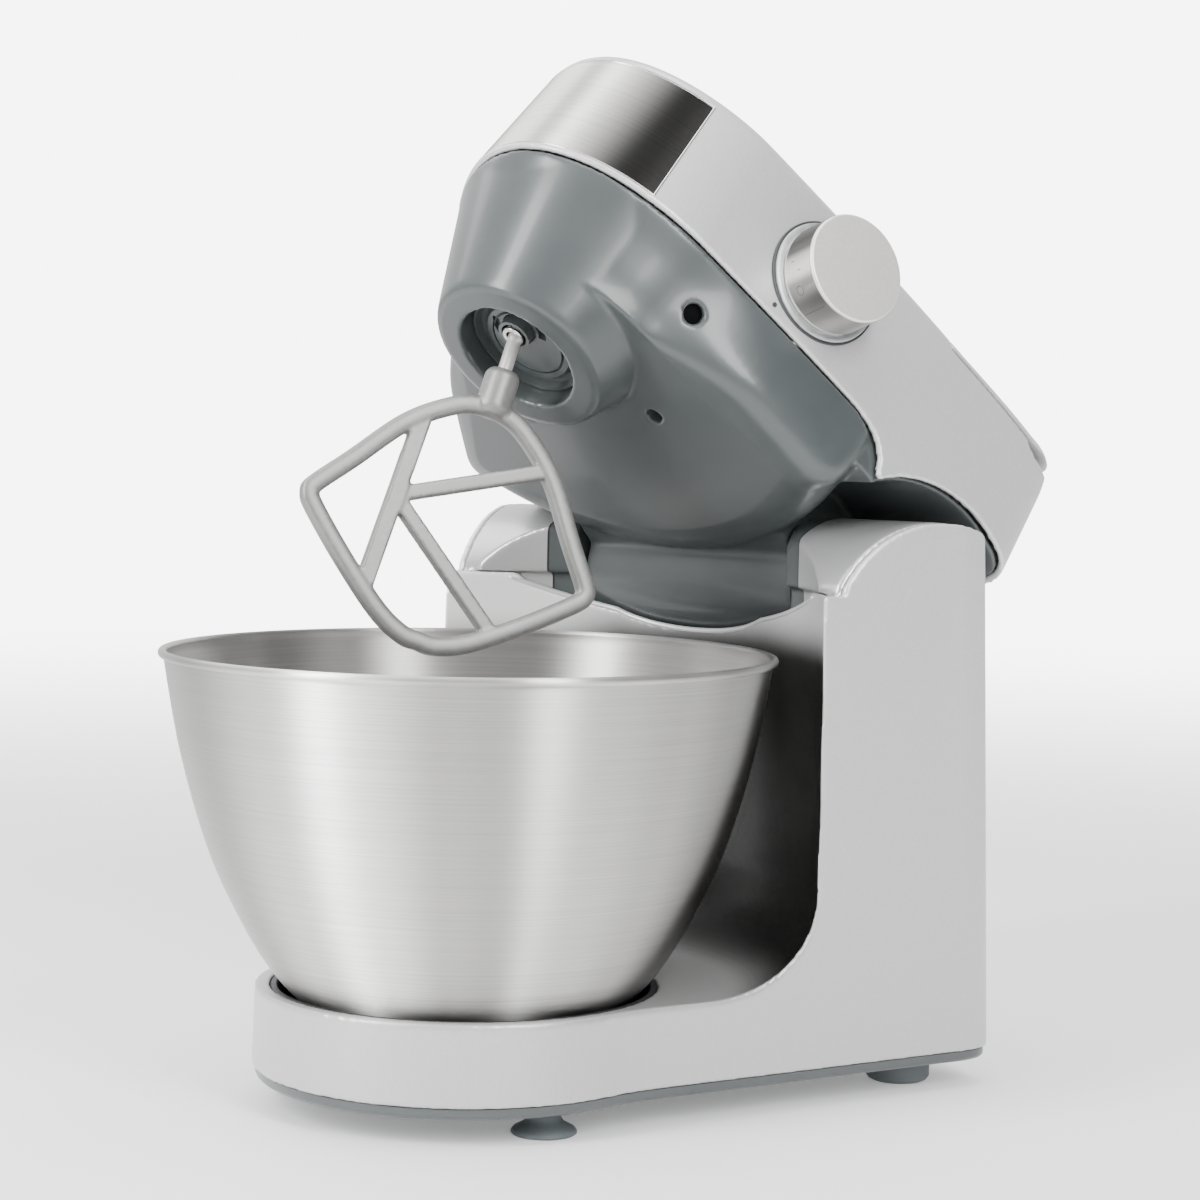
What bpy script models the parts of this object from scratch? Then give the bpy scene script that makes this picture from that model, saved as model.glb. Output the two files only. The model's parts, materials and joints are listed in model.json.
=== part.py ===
"""Stand mixer: base with column, tilting head, planetary drive, beater and bowl.

Shapes are drawn in millimetres in the machine's own frame with the head closed: the bowl's axis is
the Z axis, the front is -Y and the speed knob is on the +X side. Empties then place each group, and
the head's empty tips it back to the rest pose with the bowl free.
"""
import math

import bpy
from mathutils import Vector

MM = 0.001                      # drawing unit in metres

# ---- driving dimensions (mm, degrees) ----
BOWL_Y = -52.2                  # bowl axis in the object's frame, so the rest pose is centred
TABLE_Z = 4.0                   # table under the feet
RIM_Z = 180.0                   # bowl rim, 176 above the table
BOWL_R = 119.0                  # outside of the rolled rim
TILT = 46.5                     # head tipped back at rest
HINGE_Y, HINGE_Z = 156.5, 204.4
NOSE_Z = 169.0                  # bottom face of the closed head's nose
HANG = 22.9                     # beater's droop in its socket with the head back
PLANET_OFFSET = 7.5             # hub axis to beater axis
PIVOT_Z = NOSE_Z + 8.0          # beater's cross pin
BEATER_TURN = 59.0              # beater's plane about its shaft
GAP = 0.3

SILVER_LOW, BASE_TOP = 19.0, 50.0
WALL = 3.0
DRAFT = 0.0306                  # inward lean per unit height of the stand's sides
FRONT_R = 82.3                  # base's round front
COLUMN_R = 137.0                # concave column front, about the bowl's axis
FILLET_R = 38.0                 # sweep from the base's top into the column
SEAT_R = 75.6
ARM_LEDGE_Z, ARM_Y = 203.6, 101.5
ARM_C, ARM_R = (147.0, 178.3), 53.7
DIP_R, DIP_Z, DIP_X = 224.7, 186.0, 84.0
DRUM_R, DRUM_X = 27.0, 56.0
SKIRT_R = ARM_R + 2.8
SEAM_Z = NOSE_Z + 56.0          # silver cover's lower edge
HEAD_TOP = NOSE_Z + 120.0
SHELL = 2.5
LEVER_Y, LEVER_Z = 130.0, 150.0
BAND_Y, BAND_LOW, BAND_HIGH = -32.0, NOSE_Z + 59.0, NOSE_Z + 112.0
LID_Y, LID_Z = 96.5, NOSE_Z + 114.6  
LAY_Y, MOTOR_Y = 37.5, 106.0
KNOB_Y, KNOB_Z, KNOB_R = 37.0, NOSE_Z + 86.0, 22.0


# ---- materials ----
def material(name, color, roughness, metallic):
    mat = bpy.data.materials.new(name)
    mat.use_nodes = True
    bsdf = mat.node_tree.nodes["Principled BSDF"]
    bsdf.inputs["Base Color"].default_value = (*color, 1.0)
    bsdf.inputs["Roughness"].default_value = roughness
    bsdf.inputs["Metallic"].default_value = metallic
    return mat


# ---- outlines ----
def bezier(p0, p1, p2, p3, steps):
    """Points on a cubic curve, without its last point."""
    pts = []
    for i in range(steps):
        t = i / steps
        s = 1 - t
        pts.append(tuple(s**3 * a + 3 * s * s * t * b + 3 * s * t * t * c + t**3 * d
                         for a, b, c, d in zip(p0, p1, p2, p3)))
    return pts


def arc(cx, cy, r, a0, a1, steps):
    """Points on an arc, both ends included; angles in degrees."""
    return [(cx + r * math.cos(math.radians(a0 + (a1 - a0) * i / steps)),
             cy + r * math.sin(math.radians(a0 + (a1 - a0) * i / steps))) for i in range(steps + 1)]


def circle(cx, cy, r, steps):
    return arc(cx, cy, r, 0, 360, steps)[:-1]


def ccw(loop):
    """Loop in counter-clockwise order."""
    area = sum(a[0] * b[1] - b[0] * a[1] for a, b in zip(loop, loop[1:] + loop[:1]))
    return loop if area > 0 else loop[::-1]


def mirrored(half):
    """Closed loop from the half with x >= 0, drawn from the front to the rear."""
    left = [(-x, y) for x, y in reversed(half) if x > 0.01]
    return half + left


def inset(loop, distance):
    """Loop moved inwards along its normals; distance may be a function of the point."""
    moved = []
    for i, (x, y) in enumerate(loop):
        (ax, ay), (bx, by) = loop[i - 1], loop[(i + 1) % len(loop)]
        tx, ty = bx - ax, by - ay
        length = math.hypot(tx, ty)
        d = distance(x, y) if callable(distance) else distance
        moved.append((x - ty / length * d, y + tx / length * d))
    return moved


def head_side(y):
    """Half width of the head at y, from the nose to the rear corner."""
    return 124.0 - 58.0 * ((165.0 - y) / 173.0) ** 1.25


def head_outline():
    half = bezier((0, -61), (33, -61), (57.5, -28.3), (66, -8), 6)
    half += [(head_side(y), y) for y in (-8, 20, 50, 84, 120)]
    half += bezier((head_side(156), 156), (126.5, 168), (124, 175.5), (110, 177), 3)
    half += [(110, 177), (0, 180)]
    return mirrored(half)


def belly_outline():
    half = bezier((0, -61), (33, -61), (57.5, -28.3), (66, -8), 6)
    half += [(head_side(y), y) for y in (-8, 20, 50)]
    half += bezier((head_side(78), 78), (102.5, 86), (102, 91), (95, 94.5), 3)
    half += arc(0, 0, 134, 44.9, 90, 4)
    return mirrored(half)


def stand_outline():
    half = arc(0, 0, FRONT_R, -90, -5, 9)
    half += bezier((82.4, 0), (83.2, 8), (86, 18), (89.6, 29.3), 3)
    half += [(80.6 + 0.308 * y, y) for y in (32, 90, 152)]
    half += bezier((129.3, 158), (132.5, 168.5), (131, 177), (119, 179.5), 4)
    half += [(119, 179.5), (60, 182.5), (0, 183.5)]
    return mirrored(half)


def gear_outline(teeth, root, tip, wide, narrow, phase):
    """Trapezoid teeth; wide and narrow are shares of the pitch at root and tip."""
    pts = []
    pitch = 360.0 / teeth
    for i in range(teeth):
        mid = phase + i * pitch
        for r, share in ((root, -wide), (tip, -narrow), (tip, narrow), (root, wide)):
            a = math.radians(mid + share * pitch / 2)
            pts.append((r * math.cos(a), r * math.sin(a)))
    return pts


# ---- solids ----
def make(name, verts, faces, mat=None, parent=None):
    mesh = bpy.data.meshes.new(name)
    mesh.from_pydata([tuple(c * MM for c in v) for v in verts], [], faces)
    mesh.validate()
    obj = bpy.data.objects.new(name, mesh)
    bpy.context.scene.collection.objects.link(obj)
    if mat:
        mesh.materials.append(mat)
    if parent:
        attach(obj, parent)
    return obj


def attach(obj, parent):
    """Hang obj and its cutters on a group whose empty keeps its closed position in 'home'."""
    obj.parent = parent
    obj.location = -Vector(parent["home"])
    for mod in obj.modifiers:
        if mod.type == "BOOLEAN" and mod.object.parent is None:
            attach(mod.object, parent)


def loft(name, rings, mat=None, parent=None):
    """Solid through rings of equal length, capped at both ends; rings run upwards."""
    n = len(rings[0])
    verts = [p for ring in rings for p in ring]
    faces = [list(range(n))[::-1], [len(verts) - n + i for i in range(n)]]
    for k in range(len(rings) - 1):
        for i in range(n):
            j = (i + 1) % n
            a, b = k * n, (k + 1) * n
            if len(rings) > 2:
                faces += [[a + i, a + j, b + j], [a + i, b + j, b + i]]
            else:
                faces.append([a + i, a + j, b + j, b + i])
    return make(name, verts, faces, mat, parent)


def prism(name, pts, low, high, mat=None, parent=None):
    """Outline in XY from z = low to z = high."""
    return loft(name, [[(x, y, z) for x, y in ccw(pts)] for z in (low, high)], mat, parent)


def prism_x(name, pts, low, high, mat=None, parent=None):
    """Outline in YZ from x = low to x = high."""
    return loft(name, [[(x, y, z) for y, z in ccw(pts)] for x in (low, high)], mat, parent)


def prism_y(name, pts, low, high, mat=None, parent=None):
    """Outline in XZ from y = low to y = high."""
    return loft(name, [[(x, y, z) for x, z in ccw(pts)] for y in (high, low)], mat, parent)


def box(name, x0, x1, y0, y1, z0, z1, mat=None, parent=None):
    return prism(name, [(x0, y0), (x1, y0), (x1, y1), (x0, y1)], z0, z1, mat, parent)


def lathe(name, profile, steps, mat=None, parent=None, at=(0, 0), phase=0.0):
    """Closed (r, z) profile turned about a vertical axis at 'at'."""
    verts, faces, rows = [], [], []
    for r, z in ccw(profile):
        if r < 1e-6:
            rows.append([len(verts)] * steps)
            verts.append((at[0], at[1], z))
        else:
            rows.append([len(verts) + i for i in range(steps)])
            ring = arc(*at, r, phase, phase + 360, steps)[:-1]
            verts += [(x, y, z) for x, y in ring]
    for k, row in enumerate(rows):
        above = rows[(k + 1) % len(rows)]
        for i in range(steps):
            j = (i + 1) % steps
            face = list(dict.fromkeys([row[i], row[j], above[j], above[i]]))
            if len(face) > 2:
                faces.append(face)
    return make(name, verts, faces, mat, parent)


def rod(name, start, end, r, steps, mat=None, parent=None):
    """Round bar between two points."""
    a, b = Vector(start), Vector(end)
    turn = (b - a).to_track_quat("Z", "Y")
    ring = [turn @ Vector((x, y, 0)) for x, y in circle(0, 0, r, steps)]
    return loft(name, [[a + p for p in ring], [b + p for p in ring]], mat, parent)


def boolean(obj, other, operation):
    if other.parent is None and obj.parent is not None:
        attach(other, obj.parent)
    mod = obj.modifiers.new(other.name, "BOOLEAN")
    mod.operation, mod.solver, mod.object = operation, "EXACT", other
    other.hide_render = True
    other.display_type = "WIRE"
    return obj


def cut(obj, *others):
    for other in others:
        boolean(obj, other, "DIFFERENCE")
    return obj


def add(obj, *others):
    for other in others:
        boolean(obj, other, "UNION")
    return obj


def keep(obj, *others):
    for other in others:
        boolean(obj, other, "INTERSECT")
    return obj


def group(name, home, parent=None, parent_home=(0, 0, 0)):
    """Empty on a joint's axis; 'home' is its place with the head closed."""
    empty = bpy.data.objects.new(name, None)
    bpy.context.scene.collection.objects.link(empty)
    empty["home"] = [c * MM for c in home]
    empty.parent = parent
    empty.location = [(a - b) * MM for a, b in zip(home, parent_home)]
    return empty


# ---- stand ----
def sweep_cutter(name, grow, top):
    """Space about the bowl: flat floor, fillet and upright concave wall."""
    profile = [(0, top), (0, BASE_TOP - grow)]
    wall = COLUMN_R + grow
    profile += arc(wall - FILLET_R, BASE_TOP - grow + FILLET_R, FILLET_R, -90, 0, 4)
    profile.append((wall, top))
    return lathe(name, profile, 56, phase=0.7)


def arm_profile():
    """Everything above the arms' round tops, in YZ."""
    cy, cz = ARM_C
    start = math.degrees(math.acos((ARM_Y - cy) / ARM_R))
    top = arc(cy, cz, ARM_R, start, 49, 9)
    return ([(60, ARM_LEDGE_Z), (ARM_Y, ARM_LEDGE_Z)] + top
            + [(200, top[-1][1]), (200, 330), (60, 330)])


def stand_loft(name, shrink, low, high):
    outline = stand_outline()
    rings = [[(x, y, z) for x, y in inset(outline, shrink + (z - SILVER_LOW) * DRAFT)]
             for z in (low, high)]
    return loft(name, rings)


def dip_cutter(name):
    top = [(DIP_R * math.sin(math.radians(a)), DIP_Z + DIP_R * (1 - math.cos(math.radians(a))))
           for a in range(-20, 21, 5)]
    return prism_y(name, top + [(DIP_X, 206), (-DIP_X, 206)], 96, 143)


def trough_cutter(name, end, rear):
    """Channel that the head's drum turns in, open upwards."""
    x = DRUM_X + 1.5
    trough = arc(HINGE_Y, HINGE_Z, DRUM_R + 1.5, 200, end, 10)
    return prism_x(name, [(100, 300), (100, trough[0][1])] + trough + [(rear, trough[-1][1]), (rear, 300)],
                   -x, x)


def base_shell(mats, stand):
    shell = stand_loft("base_shell", 0, SILVER_LOW, 240)
    shell.data.materials.append(mats["silver"])
    attach(shell, stand)
    hollow = stand_loft("cut_base_hollow", WALL, 8, 250)
    cut(hollow, sweep_cutter("cut_sweep_inner", WALL, ARM_LEDGE_Z))
    cut(shell, sweep_cutter("cut_sweep_outer", 0, 330), hollow)
    cut(shell, prism_x("cut_arm_tops", arm_profile(), -140, 140), dip_cutter("cut_dip"))
    cut(shell, lathe("cut_seat_hole", [(0, 40), (SEAT_R, 40), (SEAT_R, 60), (0, 60)], 48, phase=1.3))
    cut(shell, trough_cutter("cut_shell_trough", 270, HINGE_Y + 1))
    cut(shell, box("cut_rear_saddle", -59, 59, 160, 200, 200, 300))
    cut(shell, rod("cut_lever_hole", (-140, LEVER_Y, LEVER_Z), (-100, LEVER_Y, LEVER_Z), 5.4, 16))
    cut(shell, rod("cut_gland_hole", (-70, 170, 42), (-70, 190, 42), 6.3, 20))
    return shell


def base_plate(mats, stand):
    outline = inset(stand_outline(), 1.4)
    rings = [[(x, y, z) for x, y in inset(outline, s)] for z, s in ((14.3, 1.2), (15.5, 0), (18.7, 0))]
    return loft("base_plate", rings, mats["grey"], stand)


def bowl_seat(mats, stand):
    r = SEAT_R - GAP
    profile = [(0, 27), (r, 27), (r, BASE_TOP - 0.4), (r - 2.6, BASE_TOP - 0.4), (r - 2.6, 29.5),
               (0, 29.5)]
    seat = lathe("bowl_seat", profile, 32, mats["dark"], stand)
    for k in range(3):
        a = 90 + k * 120
        wall = arc(0, 0, 60, a - 16, a + 16, 3) + arc(0, 0, 56, a + 16, a - 16, 3)
        lip = arc(0, 0, 58, a - 16, a + 16, 3) + arc(0, 0, 51.5, a + 16, a - 16, 3)
        add(seat, prism(f"add_tab_{k}", wall, 28, 39), prism(f"add_lip_{k}", lip, 36, 39))
    return seat


def feet(mats, stand):
    t = TABLE_Z
    for side, sx in (("left", -1), ("right", 1)):
        profile = [(0, t), (12, t), (12.6, t + 1), (11, t + 2.8), (6.5, t + 4.6), (6.5, 14), (0, 14)]
        lathe(f"suction_foot_{side}", profile, 20, mats["rubber"], stand, (sx * 60, -18))
        profile = [(0, t), (11, t), (13, t + 2), (13, 14), (0, 14)]
        lathe(f"rear_foot_{side}", profile, 16, mats["rubber"], stand, (sx * 100, 152))


def arm_corner_cutter(name, side):
    """Rounds the inner front corner of an arm so that the belly swings past it."""
    rings = []
    for x, r in ((56.5, 35.2), (74.5, 45.4)):
        loop = arc(HINGE_Y, HINGE_Z, r, 190, 110, 8) + arc(HINGE_Y, HINGE_Z, r + 40, 110, 190, 8)
        rings.append([(side * x, y, z) for y, z in loop])
    return loft(name, rings[::side])


def saddle_liner(mats, stand):
    """Grey inside of both arms and the trough that the head's drum turns in."""
    liner = stand_loft("saddle_liner", WALL + 0.4, 165, 240)
    liner.data.materials.append(mats["grey"])
    attach(liner, stand)
    steps = [(0, 150), (COLUMN_R + WALL + 0.4, 150), (COLUMN_R + WALL + 0.4, ARM_LEDGE_Z + GAP),
             (COLUMN_R, ARM_LEDGE_Z + GAP), (COLUMN_R, 260), (0, 260)]
    cut(liner, lathe("cut_liner_front", steps, 56, phase=0.7))
    cut(liner, prism_x("cut_liner_top", arm_profile(), -140, 140))
    cut(liner, trough_cutter("cut_trough", 325, 200))
    cut(liner, arm_corner_cutter("cut_left_corner", -1), arm_corner_cutter("cut_right_corner", 1))
    for side in (-1, 1):
        xs = sorted((side * 61.0, side * 106.0))
        cut(liner, box(f"cut_arm_hollow_{side}", *xs, 143, 165, 150, 218))
    cut(liner, rod("cut_liner_pin", (-115, HINGE_Y, HINGE_Z), (115, HINGE_Y, HINGE_Z), 5.4, 20))
    return liner


def hinge(mats, stand):
    rod("hinge_pin", (-100, HINGE_Y, HINGE_Z), (100, HINGE_Y, HINGE_Z), 5.0, 20, mats["steel"], stand)
    bracket = box("hinge_bracket", -88, 88, 147, 164, 120, 123, mats["steel"], stand)
    for side in (-1, 1):
        xs = sorted((side * 84.0, side * 88.0))
        add(bracket, box(f"add_bracket_{side}", *xs, 147, 164, 122, 215))
    cut(bracket, rod("cut_bracket_pin", (-110, HINGE_Y, HINGE_Z), (110, HINGE_Y, HINGE_Z), 5.1, 20))


def release(mats, stand, lever_group):
    """Head release: thumb lever on the column's side and the latch pawl on its shaft."""
    y, z = LEVER_Y, LEVER_Z
    arm = rod("release_lever", (-127.5, y, z), (-119.4, y, z), 7.0, 16, mats["grey"], lever_group)
    add(arm, box("add_thumb", -127.5, -121.5, y - 30, y, z - 5, z + 5))
    add(arm, rod("add_lever_shaft", (-124, y, z), (-94, y, z), 5.0, 16))
    pawl = rod("latch_pawl", (-93.7, y, z), (-89.7, y, z), 8.0, 16, mats["steel"], lever_group)
    add(pawl, box("add_pawl_arm", -93.6, -89.8, y, y + 20.5, z - 4, z + 4))
    add(pawl, box("add_pawl_nose", -93.5, -89.9, y + 15, y + 21, z - 3, z + 38))
    turns = [(-108 + 0.6 * i, y + 7.4 * math.cos(i * math.pi / 4), z + 7.4 * math.sin(i * math.pi / 4))
             for i in range(17)]
    spring = pipe("latch_spring", turns, 0.7, 4)
    spring.data.materials.append(mats["steel"])
    attach(spring, stand)


def pipe(name, path, r, steps):
    """Round wire along a path of points."""
    pts = [Vector(p) for p in path]
    rings = []
    for i, p in enumerate(pts):
        along = pts[min(i + 1, len(pts) - 1)] - pts[max(i - 1, 0)]
        side = along.cross(Vector((1, 0, 0))).normalized()
        up = along.cross(side).normalized()
        rings.append([p + side * x + up * y for x, y in circle(0, 0, r, steps)])
    return loft(name, rings)


def cord_gland(mats, stand):
    profile = [(0, 0), (6, 0), (6, 8), (9, 8), (9, 12), (0, 12)]
    gland = lathe("cord_gland", profile, 20, mats["rubber"])
    for v in gland.data.vertices:
        x, y, z = v.co
        v.co = (x - 70 * MM, z + 175.6 * MM, -y + 42 * MM)
    attach(gland, stand)
    return gland


def build_stand(mats, stand, lever_group):
    base_shell(mats, stand)
    base_plate(mats, stand)
    bowl_seat(mats, stand)
    feet(mats, stand)
    saddle_liner(mats, stand)
    hinge(mats, stand)
    release(mats, stand, lever_group)
    cord_gland(mats, stand)


# ---- bowl ----
def build_bowl(mats, bowl):
    below = ((2, 118), (40, 111), (78, 99.8), (106, 86.7), (124, 75.5), (136, 64), (141, 50))
    outside = [(r, RIM_Z - d) for d, r in below]
    inside = [(r - 0.9 - 0.35 * (d > 125), RIM_Z - d + 0.9 * (d > 125)) for d, r in below]
    rim = [(BOWL_R, RIM_Z - 2.2), (BOWL_R + 1, RIM_Z - 1.2), (BOWL_R + 1, RIM_Z - 0.4),
           (BOWL_R, RIM_Z), (118, RIM_Z)]
    profile = [(0, outside[-1][1])] + outside[::-1] + rim + inside + [(0, inside[-1][1])]
    lathe("bowl", profile, 40, mats["bowl"], bowl)
    foot = lathe("bowl_foot", [(46, 30), (50, 30), (50, 38.7), (46, 38.7)], 36, mats["bowl"], bowl)
    for k in range(3):
        a = 90 + k * 120
        lug = arc(0, 0, 54.5, a - 12, a + 12, 2) + arc(0, 0, 48.5, a + 12, a - 12, 2)
        add(foot, prism(f"add_lug_{k}", lug, 31.5, 35))


# ---- head ----
def skin(z, shrink=0.0):
    """Outline of the head at height z: a small draft, and a lean at the rear that grows upwards."""
    high = max((z - HEAD_TOP + 18) / 18, 0)
    lean = 0.055 * max(z - 224, 0) + 6 * high * high
    loop = inset(head_outline(), shrink + max(z - SEAM_Z, 0) * 0.04)
    return [(x, y - lean * min(max((y - 105) / 60, 0), 1)) for x, y in loop]


def head_rings(shrink, drop, low):
    """Rings of the head's silver shell, with a rounded crown."""
    steps = [(z, 0) for z in (low, SEAM_Z, HEAD_TOP - 18) if z >= low]
    steps += [(HEAD_TOP - 5, 0), (HEAD_TOP - 2.6, 1.5), (HEAD_TOP - 1, 4.5), (HEAD_TOP, 12.5)]
    return [[(x, y, z - drop) for x, y in skin(z, shrink + extra)] for z, extra in steps]


def seam_profile(lower=0.0):
    """Everything below the silver cover's edge, in YZ: seam, tongue and arc over the arms."""
    cy, cz = ARM_C
    z = SEAM_Z - lower
    r = SKIRT_R - lower
    tongue = [(-90, z), (76, z), (87, z - 3), (94, z - 9), (97.2, z - 15)]
    start = math.degrees(math.acos((99.5 - cy) / r))
    return [(-90, 140)] + tongue + arc(cy, cz, r, start, 50, 10) + [(200, cz + r * 0.766), (200, 140)]


def head_cover(mats, head):
    cover = loft("head_cover", head_rings(0, 0, 195), mats["silver"], head)
    hollow = loft("cut_cover_hollow", head_rings(SHELL, SHELL, 190))
    below = prism_x("cut_below_seam", seam_profile(), -140, 140)
    cut(cover, hollow, below, band_solid("cut_band_pocket", GAP, 1.5))
    lid = box("cut_lid_space", -140, 140, LID_Y - GAP, 200, LID_Z - GAP, 300)
    cut(cover, lid)
    levels = (LID_Z - 3.6, LID_Z - 1)
    deck = loft("add_lid_deck", [[(x, y, z) for x, y in lid_outline(z, 1.2)] for z in levels])
    cut(deck, lathe("cut_outlet_well", [(0, 200), (20, 200), (20, 300), (0, 300)], 40, at=(0, MOTOR_Y)))
    add(cover, deck)
    x, y = head_side(KNOB_Y), KNOB_Y
    nx, ny = knob_normal()
    inner, outer = (x - 20 * nx, y - 20 * ny, KNOB_Z), (x + 9 * nx, y + 9 * ny, KNOB_Z)
    cut(cover, rod("cut_knob_hole", inner, outer, 4.6, 20))
    cut(cover, rod("cut_finger_notch", (111, 156, LID_Z + 18), (140, 171, LID_Z + 18), 22, 32))
    return cover


def lid_outline(z, shrink):
    """Rear part of the head's outline at height z, from the lid's front edge back."""
    rear = [(x, y) for x, y in skin(z, shrink) if y > LID_Y + 6]
    right = [p for p in rear if p[0] >= 0]
    left = [p for p in rear if p[0] < 0]
    edge = head_side(LID_Y) - shrink - (z - SEAM_Z) * 0.04
    return [(edge, LID_Y - 2)] + right + left + [(-edge, LID_Y - 2)]


def outlet_cover(mats, lid_group):
    lid = loft("outlet_cover", head_rings(0, 0, LID_Z - 1), mats["silver"], lid_group)
    keep(lid, box("keep_lid", -140, 140, LID_Y, 200, LID_Z, 300))
    cut(lid, lathe("cut_lid_under", [(0, 270), (30, 270), (30, LID_Z + 3.4), (0, LID_Z + 3.4)], 32,
                   at=(0, 128.2), phase=2.0))
    return lid


def band_solid(name, grow, depth):
    """Wrap-round strip on the front of the head, cut from its outer skin."""
    outline = head_outline()
    rings = [[(x, y, z) for x, y in inset(outline, (z - SEAM_Z) * 0.04 - grow * 4)]
             for z in (BAND_LOW - grow, BAND_HIGH + grow)]
    strip = loft(name, rings)
    rear = box(f"cut_{name}_rear", -150, 150, BAND_Y + grow, 200, 150, 350)
    core = [[(x, y, z) for x, y in inset(outline, (z - SEAM_Z) * 0.04 + depth)]
            for z in (BAND_LOW - 9, BAND_HIGH + 9)]
    cut(strip, loft(f"cut_{name}_core", core), rear)
    return strip


def front_band(mats, head):
    band = band_solid("front_band", 0, 1.2)
    band.data.materials.append(mats["brushed"])
    attach(band, head)


def belly_rings(shrink, lift, top):
    """Rounded lower body: the front draws in to clear the nose cone, the rear follows the bowl."""
    outline = belly_outline()
    rings = []
    for q, side, front in ((18, 22, 17), (20.5, 12, 16.5), (25, 5.5, 15), (32, 2.2, 12), (44, 1.2, 7),
                           (56, 1.2, 1.2), (top, 1.2, 1.2)):
        ring = []
        for x, y in outline:
            w = min(max((45 - y) / 55, 0), 1)
            d = shrink + side + (front - side) * w * w * (3 - 2 * w)
            length = math.hypot(x, y - 30)
            ring.append((x - x / length * d, y - (y - 30) / length * d, NOSE_Z + q + lift * (q < 40)))
        rings.append(ring)
    return rings


def drum_wedge(name):
    """Rear of the hinge drum, left off so that it clears the column in every pose."""
    inner = arc(HINGE_Y, HINGE_Z, 15.5, -68, 58, 8)
    outer = arc(HINGE_Y, HINGE_Z, 80, 58, -68, 8)
    return prism_x(name, inner + outer, -70, 70)


def deck_band(name, low, high, shrink):
    cy, cz = ARM_C
    pts = arc(cy, cz, ARM_R + low, 148, 50, 9) + arc(cy, cz, ARM_R + high, 50, 148, 9)
    band = prism_x(name, pts, -140, 140)
    rings = [[(x, y, z) for x, y in inset(head_outline(), shrink)] for z in (190, 260)]
    return keep(band, loft(f"keep_{name}", rings))


def head_underside(mats, head):
    """Grey lower casing: nose cone, belly, neck and the drum that turns on the hinge pin."""
    cone = [(0, NOSE_Z), (34.5, NOSE_Z), (36.8, NOSE_Z + 1), (37.9, NOSE_Z + 3), (59, SEAM_Z),
            (59, NOSE_Z + 60.5), (0, NOSE_Z + 60.5)]
    casing = lathe("head_underside", cone, 36, mats["grey"], head)
    add(casing, loft("add_belly", belly_rings(0, 0, 61)))
    add(casing, box("add_neck", 0.05 - DRUM_X, DRUM_X - 0.05, 105, 166, RIM_Z + 15, RIM_Z + 58))
    add(casing, prism_x("add_drum", circle(HINGE_Y, HINGE_Z, DRUM_R, 32), -DRUM_X, DRUM_X))
    add(casing, deck_band("add_deck", 1.5, 4.0, SHELL + 1.2))
    cheeks = box("add_cheeks", -140, 140, 84, 101, 208.4, SEAM_Z + 3)
    rings = [[(x, y, z) for x, y in inset(head_outline(), SHELL + 1.2)] for z in (190, 260)]
    add(casing, keep(cheeks, loft("keep_cheeks", rings)))
    hollow = loft("cut_belly_hollow", belly_rings(SHELL + 0.5, SHELL, 66))
    x = DRUM_X - SHELL
    add(hollow, box("cut_neck_hollow", -x, x, 100, 163.5, RIM_Z + 17.5, RIM_Z + 90))
    drum = arc(HINGE_Y, HINGE_Z, DRUM_R - SHELL, 3, 363, 28)[:-1]
    add(hollow, prism_x("cut_drum_hollow", drum, 0.07 - x, x - 0.07))
    cone = [(0, NOSE_Z + 15), (28, NOSE_Z + 15), (28, NOSE_Z + 2.5), (35.4, NOSE_Z + 2.5),
            (56.3, SEAM_Z), (56.3, NOSE_Z + 68), (0, NOSE_Z + 68)]
    add(hollow, lathe("cut_cone_hollow", cone, 28, phase=2.0))
    cut(casing, hollow, drum_wedge("cut_drum_rear"))
    mouth = [(0, 150), (25.2, 150), (25.2, NOSE_Z + 20), (0, NOSE_Z + 20)]
    cut(casing, lathe("cut_nose_hole", mouth, 32, phase=3.0))
    cut(casing, tongue_pocket())
    cut(casing, rod("cut_drum_pin", (-70, HINGE_Y, HINGE_Z), (70, HINGE_Y, HINGE_Z), 5.1, 20))
    for k, (deep, mouth, r) in enumerate(screw_lines()):
        cut(casing, rod(f"cut_screw_{k}", deep, mouth, r, 12))
    return casing


def tongue_pocket():
    """Room for the silver cover's wall where it overlaps the grey casing."""
    above = seam_profile(lower=GAP)[1:-1]
    pocket = prism_x("cut_tongue_pocket", (above + [(200, 300), (-90, 300)]), -150, 150)
    core = [[(x, y, z) for x, y in inset(head_outline(), SHELL + 1.1)] for z in (130, 320)]
    return cut(pocket, loft("cut_pocket_core", core))


def screw_lines():
    """Screw holes in the casing: inner end, a point beyond the mouth, radius."""
    z = NOSE_Z
    upper = [((side * 52, 14, z + 42), (side * 78, 3, z + 28), 4.2) for side in (1, -1)]
    lower = [((side * 33, 47, z + 44), (side * 33, 47, z + 8), 3.5) for side in (1, -1)]
    return upper + lower


def cover_screws(mats, head):
    for k, (deep, mouth, r) in enumerate(screw_lines()):
        a, b = Vector(deep), Vector(mouth)
        along = (b - a).normalized()
        screw = rod(f"cover_screw_{k + 1}", a + along * 1, a + along * 5, r - 0.5, 12, mats["steel"], head)
        add(screw, rod(f"add_screw_shank_{k}", a - along * 6, a + along * 3, 1.7, 8))


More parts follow.
